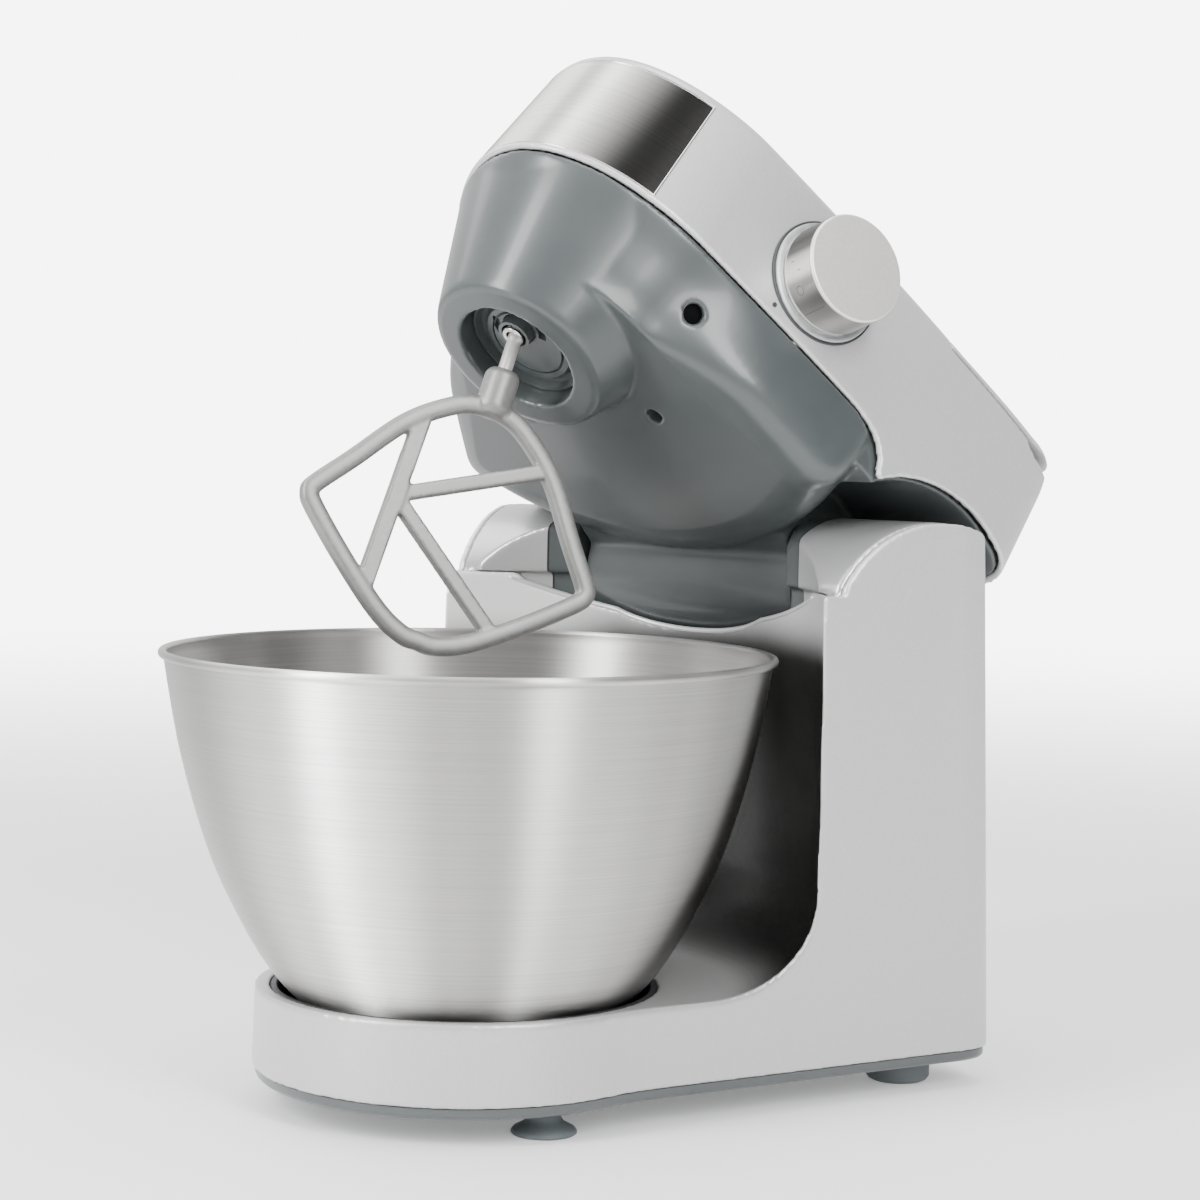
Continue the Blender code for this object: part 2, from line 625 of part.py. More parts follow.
def gearbox(mats, head):
    q = NOSE_Z
    cup = [(23.3, q + 14.8 + GAP), (27.4, q + 14.8 + GAP), (27.4, q + 28), (23.3, q + 28)]
    housing = lathe("gear_housing", cup, 28, mats["alloy"], head)
    plate = arc(0, 0, 40, 180, 360, 20) + [(36, 66), (-36, 66)]
    add(housing, prism("add_gear_plate", plate, q + 27, q + 33))
    bearing = [(0, q + 20), (13.1, q + 20), (13.1, q + 40), (0, q + 40)]
    cut(housing, lathe("cut_housing_bearing", bearing, 20))
    cut(housing, lathe("cut_housing_lay", [(0, q + 20), (4.2, q + 20), (4.2, q + 40), (0, q + 40)], 16,
                       at=(0, LAY_Y)))
    cover = box("gear_cover", -36, 36, -20, 52, q + 58, q + 63, mats["alloy"], head)
    for k, (x, y) in enumerate(((33, 22), (-33, 22), (22, 48), (-22, 48))):
        add(cover, rod(f"add_post_{k}", (x, y, q + 33.3), (x, y, q + 59), 2.8, 12))
    cut(cover, lathe("cut_cover_bearing", [(0, q + 50), (13.1, q + 50), (13.1, q + 70), (0, q + 70)], 20))
    cut(cover, lathe("cut_cover_lay", [(0, q + 50), (4.2, q + 50), (4.2, q + 70), (0, q + 70)], 16,
                     at=(0, LAY_Y)))
    for name, low in (("lower_bearing", q + 27), ("upper_bearing", q + 58)):
        lathe(name, [(6.1, low), (12.9, low), (12.9, low + 6 - (low > q + 40)),
                     (6.1, low + 6 - (low > q + 40))], 20, mats["steel"], head)
    ring = lathe("ring_gear", [(0, q + 13.6), (23.0, q + 13.6), (23.0, q + 21.5), (0, q + 21.5)], 30,
                 mats["steel"], head)
    teeth = gear_outline(30, 17.9, 20.4, 0.82, 0.5, -90)
    cut(ring, prism("cut_ring_teeth", teeth, q + 5, q + 30))


def motor(mats, head, rotor):
    q = NOSE_Z
    stator = lathe("motor_stator", [(17.2, q + 32), (29, q + 32), (29, q + 60), (17.2, q + 60)], 20,
                   mats["copper"], head, (0, MOTOR_Y))
    cut(stator, box("cut_stator_slot", -6, 6, MOTOR_Y + 12, MOTOR_Y + 40, q + 20, q + 50))
    shaft = [(0, q + 29), (3, q + 29), (3, q + 34), (16.4, q + 34), (16.4, q + 57), (3, q + 57),
             (3, q + 104), (0, q + 104)]
    lathe("motor_rotor", shaft, 12, mats["steel"], rotor, (0, MOTOR_Y))
    fan = lathe("cooling_fan", [(3.2, q + 61), (8, q + 61), (8, q + 67), (3.2, q + 67)], 12,
                mats["dark"], rotor, (0, MOTOR_Y))
    for k in range(6):
        a = math.radians(k * 60)
        tip = (24 * math.cos(a), MOTOR_Y + 24 * math.sin(a), q + 64)
        add(fan, rod(f"add_blade_{k}", (6 * math.cos(a), MOTOR_Y + 6 * math.sin(a), q + 64), tip, 1.6, 6))
    lathe("motor_pulley", [(3.2, q + 70), (9.5, q + 70), (9.5, q + 70.8), (8, q + 70.8), (8, q + 78.2),
                           (9.5, q + 78.2), (9.5, q + 79), (3.2, q + 79)], 14, mats["dark"], rotor,
          (0, MOTOR_Y))
    dog = lathe("outlet_coupling", [(3.2, q + 90), (13, q + 90), (13, q + 98), (3.2, q + 98)], 16,
                mats["dark"], rotor, (0, MOTOR_Y))
    for k in range(4):
        a = math.radians(k * 90)
        x, y = 9 * math.cos(a), MOTOR_Y + 9 * math.sin(a)
        add(dog, rod(f"add_dog_{k}", (x, y, q + 97), (x, y, q + 103), 2.2, 6))


def layshaft(mats, lay):
    q = NOSE_Z
    lathe("layshaft", [(0, q + 26), (4.0, q + 26), (4.0, q + 82), (0, q + 82)], 10, mats["steel"], lay,
          (0, LAY_Y))
    teeth = [(x, y + LAY_Y) for x, y in gear_outline(10, 5.6, 8.6, 0.5, 0.2, -90)]
    pinion = prism("pinion", teeth, q + 44, q + 53, mats["steel"], lay)
    bore = [(0, q + 40), (4.3, q + 40), (4.3, q + 60), (0, q + 60)]
    cut(pinion, lathe("cut_pinion_bore", bore, 16, at=(0, LAY_Y)))
    pulley = [(4.3, q + 70), (31, q + 70), (31, q + 70.8), (29.7, q + 70.8), (29.7, q + 78.2),
              (31, q + 78.2), (31, q + 79), (4.3, q + 79)]
    lathe("large_pulley", pulley, 24, mats["dark"], lay, (0, LAY_Y))


def belt_loop(r_big, r_small):
    """Open belt round both pulleys, seen from above."""
    span = MOTOR_Y - LAY_Y
    a = math.degrees(math.asin((r_big - r_small) / span))
    return arc(0, LAY_Y, r_big, 180 - a, 360 + a, 16) + arc(0, MOTOR_Y, r_small, a, 180 - a, 6)


def drive_belt(mats, head):
    outer, inner = belt_loop(31.6, 9.7), belt_loop(30.0, 8.3)
    belt = prism("drive_belt", outer, NOSE_Z + 71.2, NOSE_Z + 77.8, mats["rubber"], head)
    cut(belt, prism("cut_belt", inner, NOSE_Z + 65, NOSE_Z + 85))


def hub(mats, hub_group):
    q = NOSE_Z
    disc = [(0, q + 8), (24.6, q + 8), (24.6, q + 12), (0, q + 12)]
    carrier = lathe("planet_carrier", disc, 32, mats["alloy"], hub_group)
    web = [(0, q + 11), (4.6, q + 11), (4.6, q + 23), (0, q + 23)]
    add(carrier, lathe("add_web", web, 10, at=(0, 11.6)))
    add(carrier, lathe("add_top", [(0, q + 22.4), (17, q + 22.4), (17, q + 25.4), (6, q + 25.4),
                                   (6, q + 66), (0, q + 66)], 16))
    bore = [(0, q), (7.4, q), (7.4, q + 20), (0, q + 20)]
    cut(carrier, lathe("cut_spindle_bore", bore, 16, at=(0, -PLANET_OFFSET)))
    teeth = gear_outline(40, 28.0, 31.1, 0.5, 0.2, 90 + 4.5)
    wheel = prism("drive_wheel", teeth, q + 45, q + 52, mats["alloy"], hub_group)
    cut(wheel, lathe("cut_wheel_bore", [(0, q + 40), (6.3, q + 40), (6.3, q + 60), (0, q + 60)], 14))


def planet(mats, planet_group):
    q = NOSE_Z
    at = (0, -PLANET_OFFSET)
    teeth = [(x, y + at[1]) for x, y in gear_outline(18, 9.7, 12.1, 0.5, 0.2, -90)]
    gear = prism("planet_gear", teeth, q + 13.9, q + 21.2, mats["steel"], planet_group)
    cut(gear, lathe("cut_planet_bore", [(0, q), (7.0, q), (7.0, q + 30), (0, q + 30)], 16, at=at))
    socket = [(5.6, q + 5), (7.0, q + 5), (7.0, q + 13.5), (6.7, q + 13.5), (6.7, q + 21.2), (0, q + 21.2),
              (0, q + 15), (5.6, q + 15)]
    lathe("beater_socket", socket, 16, mats["alloy"], planet_group, at)


# ---- beater ----
def beater_outline(shrink):
    half = [(0, 134.5), (8, 134), (21, 128), (40, 113.5), (57, 98.5), (61.3, 92), (60, 85.5),
            (49, 70.5), (34, 49.5), (19, 36.5), (7, 31)]
    loop = mirrored(half)
    return inset(ccw(loop), shrink)


def beater_box(name, start, end, width, thick, parent=None):
    """Straight bar in the beater's plane; points are (sideways, below the pin)."""
    a, b = Vector((*start, 0)), Vector((*end, 0))
    side = (b - a).cross(Vector((0, 0, 1))).normalized() * width / 2
    corners = [a + side, b + side, b - side, a - side]
    return beater_prism(name, [(c.x, c.y) for c in corners], thick, None, parent)


def beater_prism(name, pts, thick, mat=None, parent=None):
    """Outline in the beater's plane with the given thickness, in the beater's own frame."""
    c, s = math.cos(math.radians(BEATER_TURN)), math.sin(math.radians(BEATER_TURN))
    rings = []
    for n in (-thick / 2, thick / 2):
        rings.append([(u * c - n * s, u * s + n * c - PLANET_OFFSET, PIVOT_Z - v) for u, v in ccw(pts)])
    return loft(name, rings, mat, parent)


def build_beater(mats, beater):
    at = (0, -PLANET_OFFSET)
    frame = beater_prism("beater_frame", beater_outline(0), 7.0, mats["beater"], beater)
    cut(frame, beater_prism("cut_beater_inside", beater_outline(7.4), 20))
    add(frame, beater_box("add_bar_upright", (-25, 45), (-27, 119), 6.4, 6.2))
    add(frame, beater_box("add_bar_upper", (-24, 79), (29, 49), 5.6, 5.8))
    add(frame, beater_box("add_bar_lower", (-24, 82), (25.5, 118), 5.6, 5.8))
    sleeve = [(0, PIVOT_Z - 37), (5, PIVOT_Z - 37), (7, PIVOT_Z - 34), (7, PIVOT_Z - 19.5),
              (6, PIVOT_Z - 18), (0, PIVOT_Z - 18)]
    add(frame, lathe("add_sleeve", sleeve, 16, at=at))
    cut(frame, lathe("cut_sleeve", [(0, PIVOT_Z - 32), (3.1, PIVOT_Z - 32), (3.1, PIVOT_Z), (0, PIVOT_Z)],
                     10, at=at, phase=4.0))
    shaft = lathe("beater_shaft", [(0, PIVOT_Z - 31.7), (2.8, PIVOT_Z - 31.7), (2.8, PIVOT_Z + 2.4),
                                   (2.2, PIVOT_Z + 3), (0, PIVOT_Z + 3)], 10, mats["steel"], beater, at)
    c, s = math.cos(math.radians(BEATER_TURN)), math.sin(math.radians(BEATER_TURN))
    ends = [(k * c, k * s - PLANET_OFFSET, PIVOT_Z) for k in (-4.5, 4.5)]
    rod("beater_pin", *ends, 1.2, 10, mats["steel"], beater)
    ends = [(k * c, k * s - PLANET_OFFSET, PIVOT_Z) for k in (-6, 6)]
    cut(shaft, rod("cut_shaft_pin", *ends, 1.45, 10))


# ---- speed knob and electrics ----
def knob_normal():
    """Outward direction of the head's side at the knob, in XY."""
    slope = (head_side(KNOB_Y + 1) - head_side(KNOB_Y - 1)) / 2
    length = math.hypot(1, slope)
    return 1 / length, -slope / length


def on_side(obj):
    """Turn a part drawn about +Z at the origin so that it stands on the head's side."""
    nx, ny = knob_normal()
    normal = Vector((nx, ny, 0))
    turn = normal.to_track_quat("Z", "Y").to_matrix()
    spot = (Vector((head_side(KNOB_Y), KNOB_Y, KNOB_Z)) - 0.8 * normal) * MM
    for v in obj.data.vertices:
        v.co = turn @ v.co + spot
    return obj


def knob(mats, head, knob_group):
    cap = [(0, 2.4), (KNOB_R, 2.4), (KNOB_R, 19.4), (KNOB_R - 0.6, 20.6), (KNOB_R - 2, 21.4), (0, 21.4)]
    shaft = [(0, -15), (3.5, -15), (3.5, 3), (0, 3)]
    turned = on_side(lathe("speed_knob", cap, 36, mats["knob"]))
    stem = on_side(lathe("add_knob_stem", shaft, 16))
    attach(turned, knob_group)
    add(turned, stem)
    ring = on_side(lathe("knob_bezel", [(19, 0.9), (25.3, 0.9), (25.3, 2.0), (19, 2.0)], 36, mats["knob"]))
    attach(ring, head)
    switch = [(-13, -13), (13, -13), (13, 13), (-13, 13)]
    body = on_side(prism("speed_switch", switch, -18, -7, mats["dark"]))
    attach(body, head)
    cut(body, on_side(lathe("cut_switch", [(0, -16), (4, -16), (4, 0), (0, 0)], 16)))
    box("control_board", -62, -60, 10, 60, NOSE_Z + 62, NOSE_Z + 100, mats["board"], head)


def build_head(mats, groups):
    head = groups["head"]
    head_cover(mats, head)
    outlet_cover(mats, groups["lid"])
    front_band(mats, head)
    head_underside(mats, head)
    cover_screws(mats, head)
    gearbox(mats, head)
    motor(mats, head, groups["rotor"])
    layshaft(mats, groups["lay"])
    drive_belt(mats, head)
    hub(mats, groups["hub"])
    planet(mats, groups["planet"])
    knob(mats, head, groups["knob"])


def make_materials():
    return {
        "silver": material("silver_paint", (0.62, 0.63, 0.63), 0.32, 0.75),
        "grey": material("grey_plastic", (0.17, 0.21, 0.22), 0.25, 0.0),
        "dark": material("dark_plastic", (0.08, 0.09, 0.09), 0.5, 0.0),
        "rubber": material("grey_rubber", (0.16, 0.18, 0.19), 0.7, 0.0),
        "bowl": material("bowl_steel", (0.7, 0.69, 0.67), 0.25, 1.0),
        "brushed": material("brushed_band", (0.6, 0.59, 0.56), 0.35, 1.0),
        "knob": material("knob_metal", (0.62, 0.6, 0.56), 0.35, 1.0),
        "beater": material("beater_coating", (0.36, 0.36, 0.35), 0.4, 0.6),
        "steel": material("steel", (0.6, 0.6, 0.6), 0.3, 1.0),
        "alloy": material("alloy_casting", (0.5, 0.51, 0.52), 0.45, 0.8),
        "copper": material("motor_core", (0.42, 0.24, 0.14), 0.5, 0.6),
        "board": material("board_green", (0.05, 0.2, 0.1), 0.5, 0.0),
    }


def make_groups():
    """One empty for each moving body, on its joint's axis, then the rest pose."""
    stand = group("mixer", (0, 0, 0))
    stand.location = (0, BOWL_Y * MM, -TABLE_Z * MM)
    hinge_home = (0, HINGE_Y, HINGE_Z)
    head = group("head_tilt", hinge_home, stand)
    groups = {"stand": stand, "head": head}
    for name, home in (("hub", (0, 0, NOSE_Z)), ("lay", (0, LAY_Y, NOSE_Z)),
                       ("rotor", (0, MOTOR_Y, NOSE_Z)), ("lid", (0, MOTOR_Y, LID_Z)),
                       ("knob", (head_side(KNOB_Y), KNOB_Y, KNOB_Z))):
        groups[name] = group(f"{name}_axis", home, head, hinge_home)
    planet_home = (0, -PLANET_OFFSET, NOSE_Z)
    pin_home = (0, -PLANET_OFFSET, PIVOT_Z)
    groups["planet"] = group("planet_axis", planet_home, groups["hub"], (0, 0, NOSE_Z))
    groups["beater"] = group("beater_pivot", pin_home, groups["planet"], planet_home)
    groups["bowl"] = group("bowl_axis", (0, 0, 30), stand)
    groups["lever"] = group("lever_axis", (-120, LEVER_Y, LEVER_Z), stand)
    head.rotation_euler = (math.radians(-TILT), 0, 0)
    groups["beater"].rotation_euler = (math.radians(HANG), 0, 0)
    return groups


def main():
    for obj in list(bpy.data.objects):
        bpy.data.objects.remove(obj, do_unlink=True)
    mats = make_materials()
    groups = make_groups()
    build_stand(mats, groups["stand"], groups["lever"])
    build_bowl(mats, groups["bowl"])
    build_head(mats, groups)
    build_beater(mats, groups["beater"])
    bpy.context.view_layer.update()


main()
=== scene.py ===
"""Tilt-head stand mixer, head raised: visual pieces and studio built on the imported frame."""
import math

import bpy
from mathutils import Matrix, Vector
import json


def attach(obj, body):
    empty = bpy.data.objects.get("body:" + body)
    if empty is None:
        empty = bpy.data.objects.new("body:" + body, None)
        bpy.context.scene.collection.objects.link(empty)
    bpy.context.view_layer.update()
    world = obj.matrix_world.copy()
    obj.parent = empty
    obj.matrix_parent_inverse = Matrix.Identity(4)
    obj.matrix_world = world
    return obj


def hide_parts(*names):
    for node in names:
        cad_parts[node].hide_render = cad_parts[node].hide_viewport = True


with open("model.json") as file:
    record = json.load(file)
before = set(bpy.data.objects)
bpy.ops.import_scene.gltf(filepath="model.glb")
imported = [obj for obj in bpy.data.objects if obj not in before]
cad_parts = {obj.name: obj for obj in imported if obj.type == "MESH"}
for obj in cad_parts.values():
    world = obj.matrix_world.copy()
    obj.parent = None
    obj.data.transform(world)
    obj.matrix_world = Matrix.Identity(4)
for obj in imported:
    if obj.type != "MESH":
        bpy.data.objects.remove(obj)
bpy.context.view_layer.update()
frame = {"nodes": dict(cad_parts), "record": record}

# ---- sizes in mm, with the head closed, the bowl's axis as Z and the front at -Y ----
MM = 0.001
BOWL_Y, TABLE_Z = -52.2, 4.0
RIM_Z = 180.0
TILT, HANG = 46.5, 22.9
HINGE_Y, HINGE_Z = 156.5, 204.4
NOSE_Z = 169.0
PLANET_OFFSET = 7.5
PIVOT_Z = NOSE_Z + 8
BEATER_TURN = 59.0
SILVER_LOW, BASE_TOP = 19.0, 50.0
WALL, DRAFT = 3.0, 0.0306
FRONT_R, COLUMN_R, FILLET_R, SEAT_R = 82.3, 137.0, 38.0, 75.6
ARM_LEDGE_Z, ARM_Y = 203.6, 101.5
ARM_C, ARM_R = (147.0, 178.3), 53.7
DIP_R, DIP_Z, DIP_X = 224.7, 186.0, 84.0
DRUM_R, DRUM_X = 27.0, 56.0
SKIRT_R = ARM_R + 2.8
SEAM_Z, HEAD_TOP = NOSE_Z + 56, NOSE_Z + 120
SHELL, SKIN_DRAFT = 2.5, 0.04
BAND_Y, BAND_DEPTH = -32.0, 1.0
LEVER_Y, LEVER_Z = 130.0, 150.0
GLAND_X, GLAND_Y, GLAND_Z = -70.0, 175.6, 42.0
BAND_LOW, BAND_HIGH = NOSE_Z + 59, NOSE_Z + 112
LID_Y, LID_Z = 96.5, NOSE_Z + 114.6
MOTOR_Y = 106.0
KNOB_Y, KNOB_Z, KNOB_R = 37.0, NOSE_Z + 86, 22.0
GAP = 0.3


def about_x(y, z, degrees):
    """Turn about the X axis through (y, z)."""
    home = Matrix.Translation((0, y * MM, z * MM))
    return home @ Matrix.Rotation(math.radians(degrees), 4, "X") @ home.inverted()


def turned(spot, axis):
    """A lathe's axis laid along -X or +Y, from a spot in mm."""
    return Matrix.Translation(Vector(spot) * MM) @ Matrix.Rotation(math.radians(-90), 4, axis)


STAND = Matrix.Translation((0, BOWL_Y * MM, -TABLE_Z * MM))
HEAD = STAND @ about_x(HINGE_Y, HINGE_Z, -TILT)
BEATER = HEAD @ about_x(-PLANET_OFFSET, PIVOT_Z, HANG)


# ---- outlines ----
def bezier(p0, p1, p2, p3, steps):
    pts = []
    for i in range(steps):
        t = i / steps
        s = 1 - t
        pts.append(tuple(s**3 * a + 3 * s * s * t * b + 3 * s * t * t * c + t**3 * d
                         for a, b, c, d in zip(p0, p1, p2, p3)))
    return pts


def arc(cx, cy, r, a0, a1, steps):
    return [(cx + r * math.cos(math.radians(a0 + (a1 - a0) * i / steps)),
             cy + r * math.sin(math.radians(a0 + (a1 - a0) * i / steps))) for i in range(steps + 1)]


def spline(points, steps, closed=False):
    """Smooth curve through the points, with their ends held or joined."""
    n = len(points)
    out = []
    for k in range(n if closed else n - 1):
        near = [(k + i) % n if closed else min(max(k + i, 0), n - 1) for i in (-1, 0, 1, 2)]
        p, q, r, s = [points[i] for i in near]
        for i in range(steps):
            t = i / steps
            out.append(tuple(0.5 * (2 * b + (c - a) * t + (2 * a - 5 * b + 4 * c - d) * t * t
                                    + (3 * b - a - 3 * c + d) * t**3) for a, b, c, d in zip(p, q, r, s)))
    return out if closed else out + [points[-1]]


def circle(cx, cy, r, steps):
    return arc(cx, cy, r, 0, 360, steps)[:-1]


def sector(r0, r1, a0, a1, steps, cy=0):
    """Part of a ring between two radii and two angles."""
    return arc(0, cy, r1, a0, a1, steps) + arc(0, cy, r0, a1, a0, steps)


def ccw(loop):
    area = sum(a[0] * b[1] - b[0] * a[1] for a, b in zip(loop, loop[1:] + loop[:1]))
    return loop if area > 0 else loop[::-1]


def mirrored(half):
    return half + [(-x, y) for x, y in reversed(half) if x > 0.01]


def inset(loop, distance):
    moved = []
    for i, (x, y) in enumerate(loop):
        (ax, ay), (bx, by) = loop[i - 1], loop[(i + 1) % len(loop)]
        tx, ty = bx - ax, by - ay
        length = math.hypot(tx, ty)
        d = distance(x, y) if callable(distance) else distance
        moved.append((x - ty / length * d, y + tx / length * d))
    return moved


def pulled(loop, d, low, high):
    """Loop drawn in towards the line x = 0 between y = low and y = high."""
    out = []
    for x, y in loop:
        cy = min(max(y, low), high)
        length = math.hypot(x, y - cy)
        out.append((x - x / length * d, y - (y - cy) / length * d))
    return out


def span(low, high, steps):
    return [low + (high - low) * i / steps for i in range(steps)]


def head_side(y):
    return 124.0 - 58.0 * ((165.0 - y) / 173.0) ** 1.25


def head_outline():
    half = bezier((0, -61), (33, -61), (57.5, -28.3), (66, -8), 26)
    half += [(head_side(y), y) for y in span(-8, 156, 34)]
    half += bezier((head_side(156), 156), (126.5, 168), (124, 175.5), (110, 177), 12)
    half += bezier((110, 177), (74, 179.5), (30, 180), (0, 180), 10) + [(0, 180)]
    return mirrored(half)


def belly_outline():
    half = bezier((0, -61), (33, -61), (57.5, -28.3), (66, -8), 26)
    half += [(head_side(y), y) for y in span(-8, 78, 20)]
    half += bezier((head_side(78), 78), (102.5, 86), (102, 91), (95, 94.5), 8)
    half += arc(0, 0, 134, 44.9, 90, 22)
    return mirrored(half)


def stand_outline():
    half = arc(0, 0, FRONT_R, -90, -5, 40)
    half += bezier((82.4, 0), (83.2, 8), (86, 18), (89.6, 29.3), 10)
    half += [(80.6 + 0.308 * y, y) for y in span(32, 154, 16)]
    half += bezier((129.0, 156), (132.5, 168.5), (131, 177), (119, 179.5), 14)
    half += bezier((119, 179.5), (80, 183.4), (40, 183.5), (0, 183.5), 10) + [(0, 183.5)]
    return mirrored(half)


# ---- solids ----
def make(name, verts, faces):
    mesh = bpy.data.meshes.new(name)
    mesh.from_pydata([tuple(c * MM for c in v) for v in verts], [], faces)
    mesh.validate()
    obj = bpy.data.objects.new(name, mesh)
    bpy.context.scene.collection.objects.link(obj)
    return obj


def loft(name, rings, closed=True):
    n = len(rings[0])
    verts = [p for ring in rings for p in ring]
    faces = [list(range(n))[::-1], [len(verts) - n + i for i in range(n)]] if closed else []
    for k in range(len(rings) - 1):
        for i in range(n):
            j = (i + 1) % n
            a, b = k * n, (k + 1) * n
            faces += [[a + i, a + j, b + j], [a + i, b + j, b + i]]
    return make(name, verts, faces)


def prism(name, pts, low, high):
    return loft(name, [[(x, y, z) for x, y in ccw(pts)] for z in (low, high)])


def prism_x(name, pts, low, high):
    return loft(name, [[(x, y, z) for y, z in ccw(pts)] for x in (low, high)])


def prism_y(name, pts, low, high):
    return loft(name, [[(x, y, z) for x, z in ccw(pts)] for y in (high, low)])


def block(name, x0, x1, y0, y1, z0, z1):
    return prism(name, [(x0, y0), (x1, y0), (x1, y1), (x0, y1)], z0, z1)


def lathe(name, profile, steps=128, at=(0, 0), phase=0.0):
    verts, faces, rows = [], [], []
    for r, z in ccw(profile):
        if r < 1e-6:
            rows.append([len(verts)] * steps)
            verts.append((at[0], at[1], z))
        else:
            rows.append([len(verts) + i for i in range(steps)])
            verts += [(x, y, z) for x, y in arc(*at, r, phase, phase + 360, steps)[:-1]]
    for k, row in enumerate(rows):
        above = rows[(k + 1) % len(rows)]
        for i in range(steps):
            j = (i + 1) % steps
            face = list(dict.fromkeys([row[i], row[j], above[j], above[i]]))
            if len(face) > 2:
                faces.append(face)
    return make(name, verts, faces)


def rod(name, start, end, r, steps=32):
    a, b = Vector(start), Vector(end)
    turn = (b - a).to_track_quat("Z", "Y")
    ring = [turn @ Vector((x, y, 0)) for x, y in circle(0, 0, r, steps)]
    return loft(name, [[a + p for p in ring], [b + p for p in ring]])


def tube(name, path, r, steps=16):
    pts = [Vector(p) for p in path]
    rings = []
    for i, p in enumerate(pts):
        along = (pts[min(i + 1, len(pts) - 1)] - pts[max(i - 1, 0)]).normalized()
        side = along.cross(Vector((0, 0, 1))).normalized()
        up = side.cross(along)
        rings.append([p + side * x + up * y for x, y in circle(0, 0, r, steps)])
    return loft(name, rings)


def bake(obj):
    """Replace the mesh by what the modifiers make of it."""
    graph = bpy.context.evaluated_depsgraph_get()
    mesh = bpy.data.meshes.new_from_object(obj.evaluated_get(graph))
    obj.modifiers.clear()
    obj.data = mesh
    return obj


def combine(obj, others, operation):
    for other in others:
        mod = obj.modifiers.new("step", "BOOLEAN")
        mod.operation, mod.solver, mod.object = operation, "EXACT", other
    bake(obj)
    for other in others:
        bpy.data.objects.remove(other)
    return obj


def cut(obj, *others):
    return combine(obj, others, "DIFFERENCE")


def add(obj, *others):
    return combine(obj, others, "UNION")


def keep(obj, *others):
    return combine(obj, others, "INTERSECT")


def melt(obj, voxel, rounds):
    """Even mesh with softened edges, as a moulding has."""
    mod = obj.modifiers.new("even", "REMESH")
    mod.mode, mod.voxel_size, mod.adaptivity = "VOXEL", voxel * MM, 0
    mod = obj.modifiers.new("soften", "SMOOTH")
    mod.factor, mod.iterations = 0.5, rounds
    return bake(obj)


def bevelled(obj, width, segments=3, angle=35):
    mod = obj.modifiers.new("edges", "BEVEL")
    mod.width, mod.segments, mod.limit_method = width * MM, segments, "ANGLE"
    mod.angle_limit = math.radians(angle)
    return bake(obj)


def smooth(obj, angle=180):
    obj.data.shade_smooth()
    if angle < 180:
        obj.data.set_sharp_from_angle(angle=math.radians(angle))
    return obj


def place(obj, pose, body, mat, nodes=(), angle=180):
    """Bake the pose, give the material and hang the piece on its CAD body."""
    obj.data.transform(pose)
    obj.data.materials.clear()
    obj.data.materials.append(mat)
    smooth(obj, angle)
    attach(obj, body)
    if nodes:
        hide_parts(*nodes)
    return obj


# ---- materials ----
def node(owner, kind, **values):
    """New shader node in a material or the world, with attributes or inputs set by name."""
    made = owner.node_tree.nodes.new(kind)
    for key, value in values.items():
        if hasattr(made, key):
            setattr(made, key, value)
        else:
            made.inputs[key.replace("_", " ")].default_value = value
    return made


def join(owner, output, socket):
    owner.node_tree.links.new(output, socket)


def math_node(owner, operation, *values):
    made = node(owner, "ShaderNodeMath", operation=operation)
    for k, value in enumerate(values):
        if isinstance(value, (int, float)):
            made.inputs[k].default_value = value
        else:
            join(owner, value, made.inputs[k])
    return made.outputs["Value"]


def dot_with(owner, vector, direction):
    made = node(owner, "ShaderNodeVectorMath", operation="DOT_PRODUCT")
    made.inputs[1].default_value = direction
    join(owner, vector, made.inputs[0])
    return made.outputs["Value"]


def product(mat, factors):
    total = factors[0]
    for factor in factors[1:]:
        total = math_node(mat, "MULTIPLY", total, factor)
    return total


def eased(mat, value, low, high):
    """1 where the value has passed from low to high, eased."""
    made = node(mat, "ShaderNodeMapRange", interpolation_type="SMOOTHSTEP")
    made.inputs["From Min"].default_value, made.inputs["From Max"].default_value = low, high
    join(mat, value, made.inputs["Value"])
    return made.outputs["Result"]


def axes(mat, vector):
    """The x, y and z sockets of a vector."""
    split = node(mat, "ShaderNodeSeparateXYZ")
    join(mat, vector, split.inputs["Vector"])
    return split.outputs["X"], split.outputs["Y"], split.outputs["Z"]


def place_axes(mat):
    return axes(mat, node(mat, "ShaderNodeTexCoord").outputs["Object"])


def surface(mat):
    return mat.node_tree.nodes["Principled BSDF"]


def principled(name, color, roughness, metallic=0.0, **more):
    mat = bpy.data.materials.new(name)
    mat.use_nodes = True
    shader = surface(mat)
    shader.inputs["Base Color"].default_value = (*color, 1)
    shader.inputs["Roughness"].default_value = roughness
    shader.inputs["Metallic"].default_value = metallic
    for key, value in more.items():
        shader.inputs[key.replace("_", " ")].default_value = value
    return mat


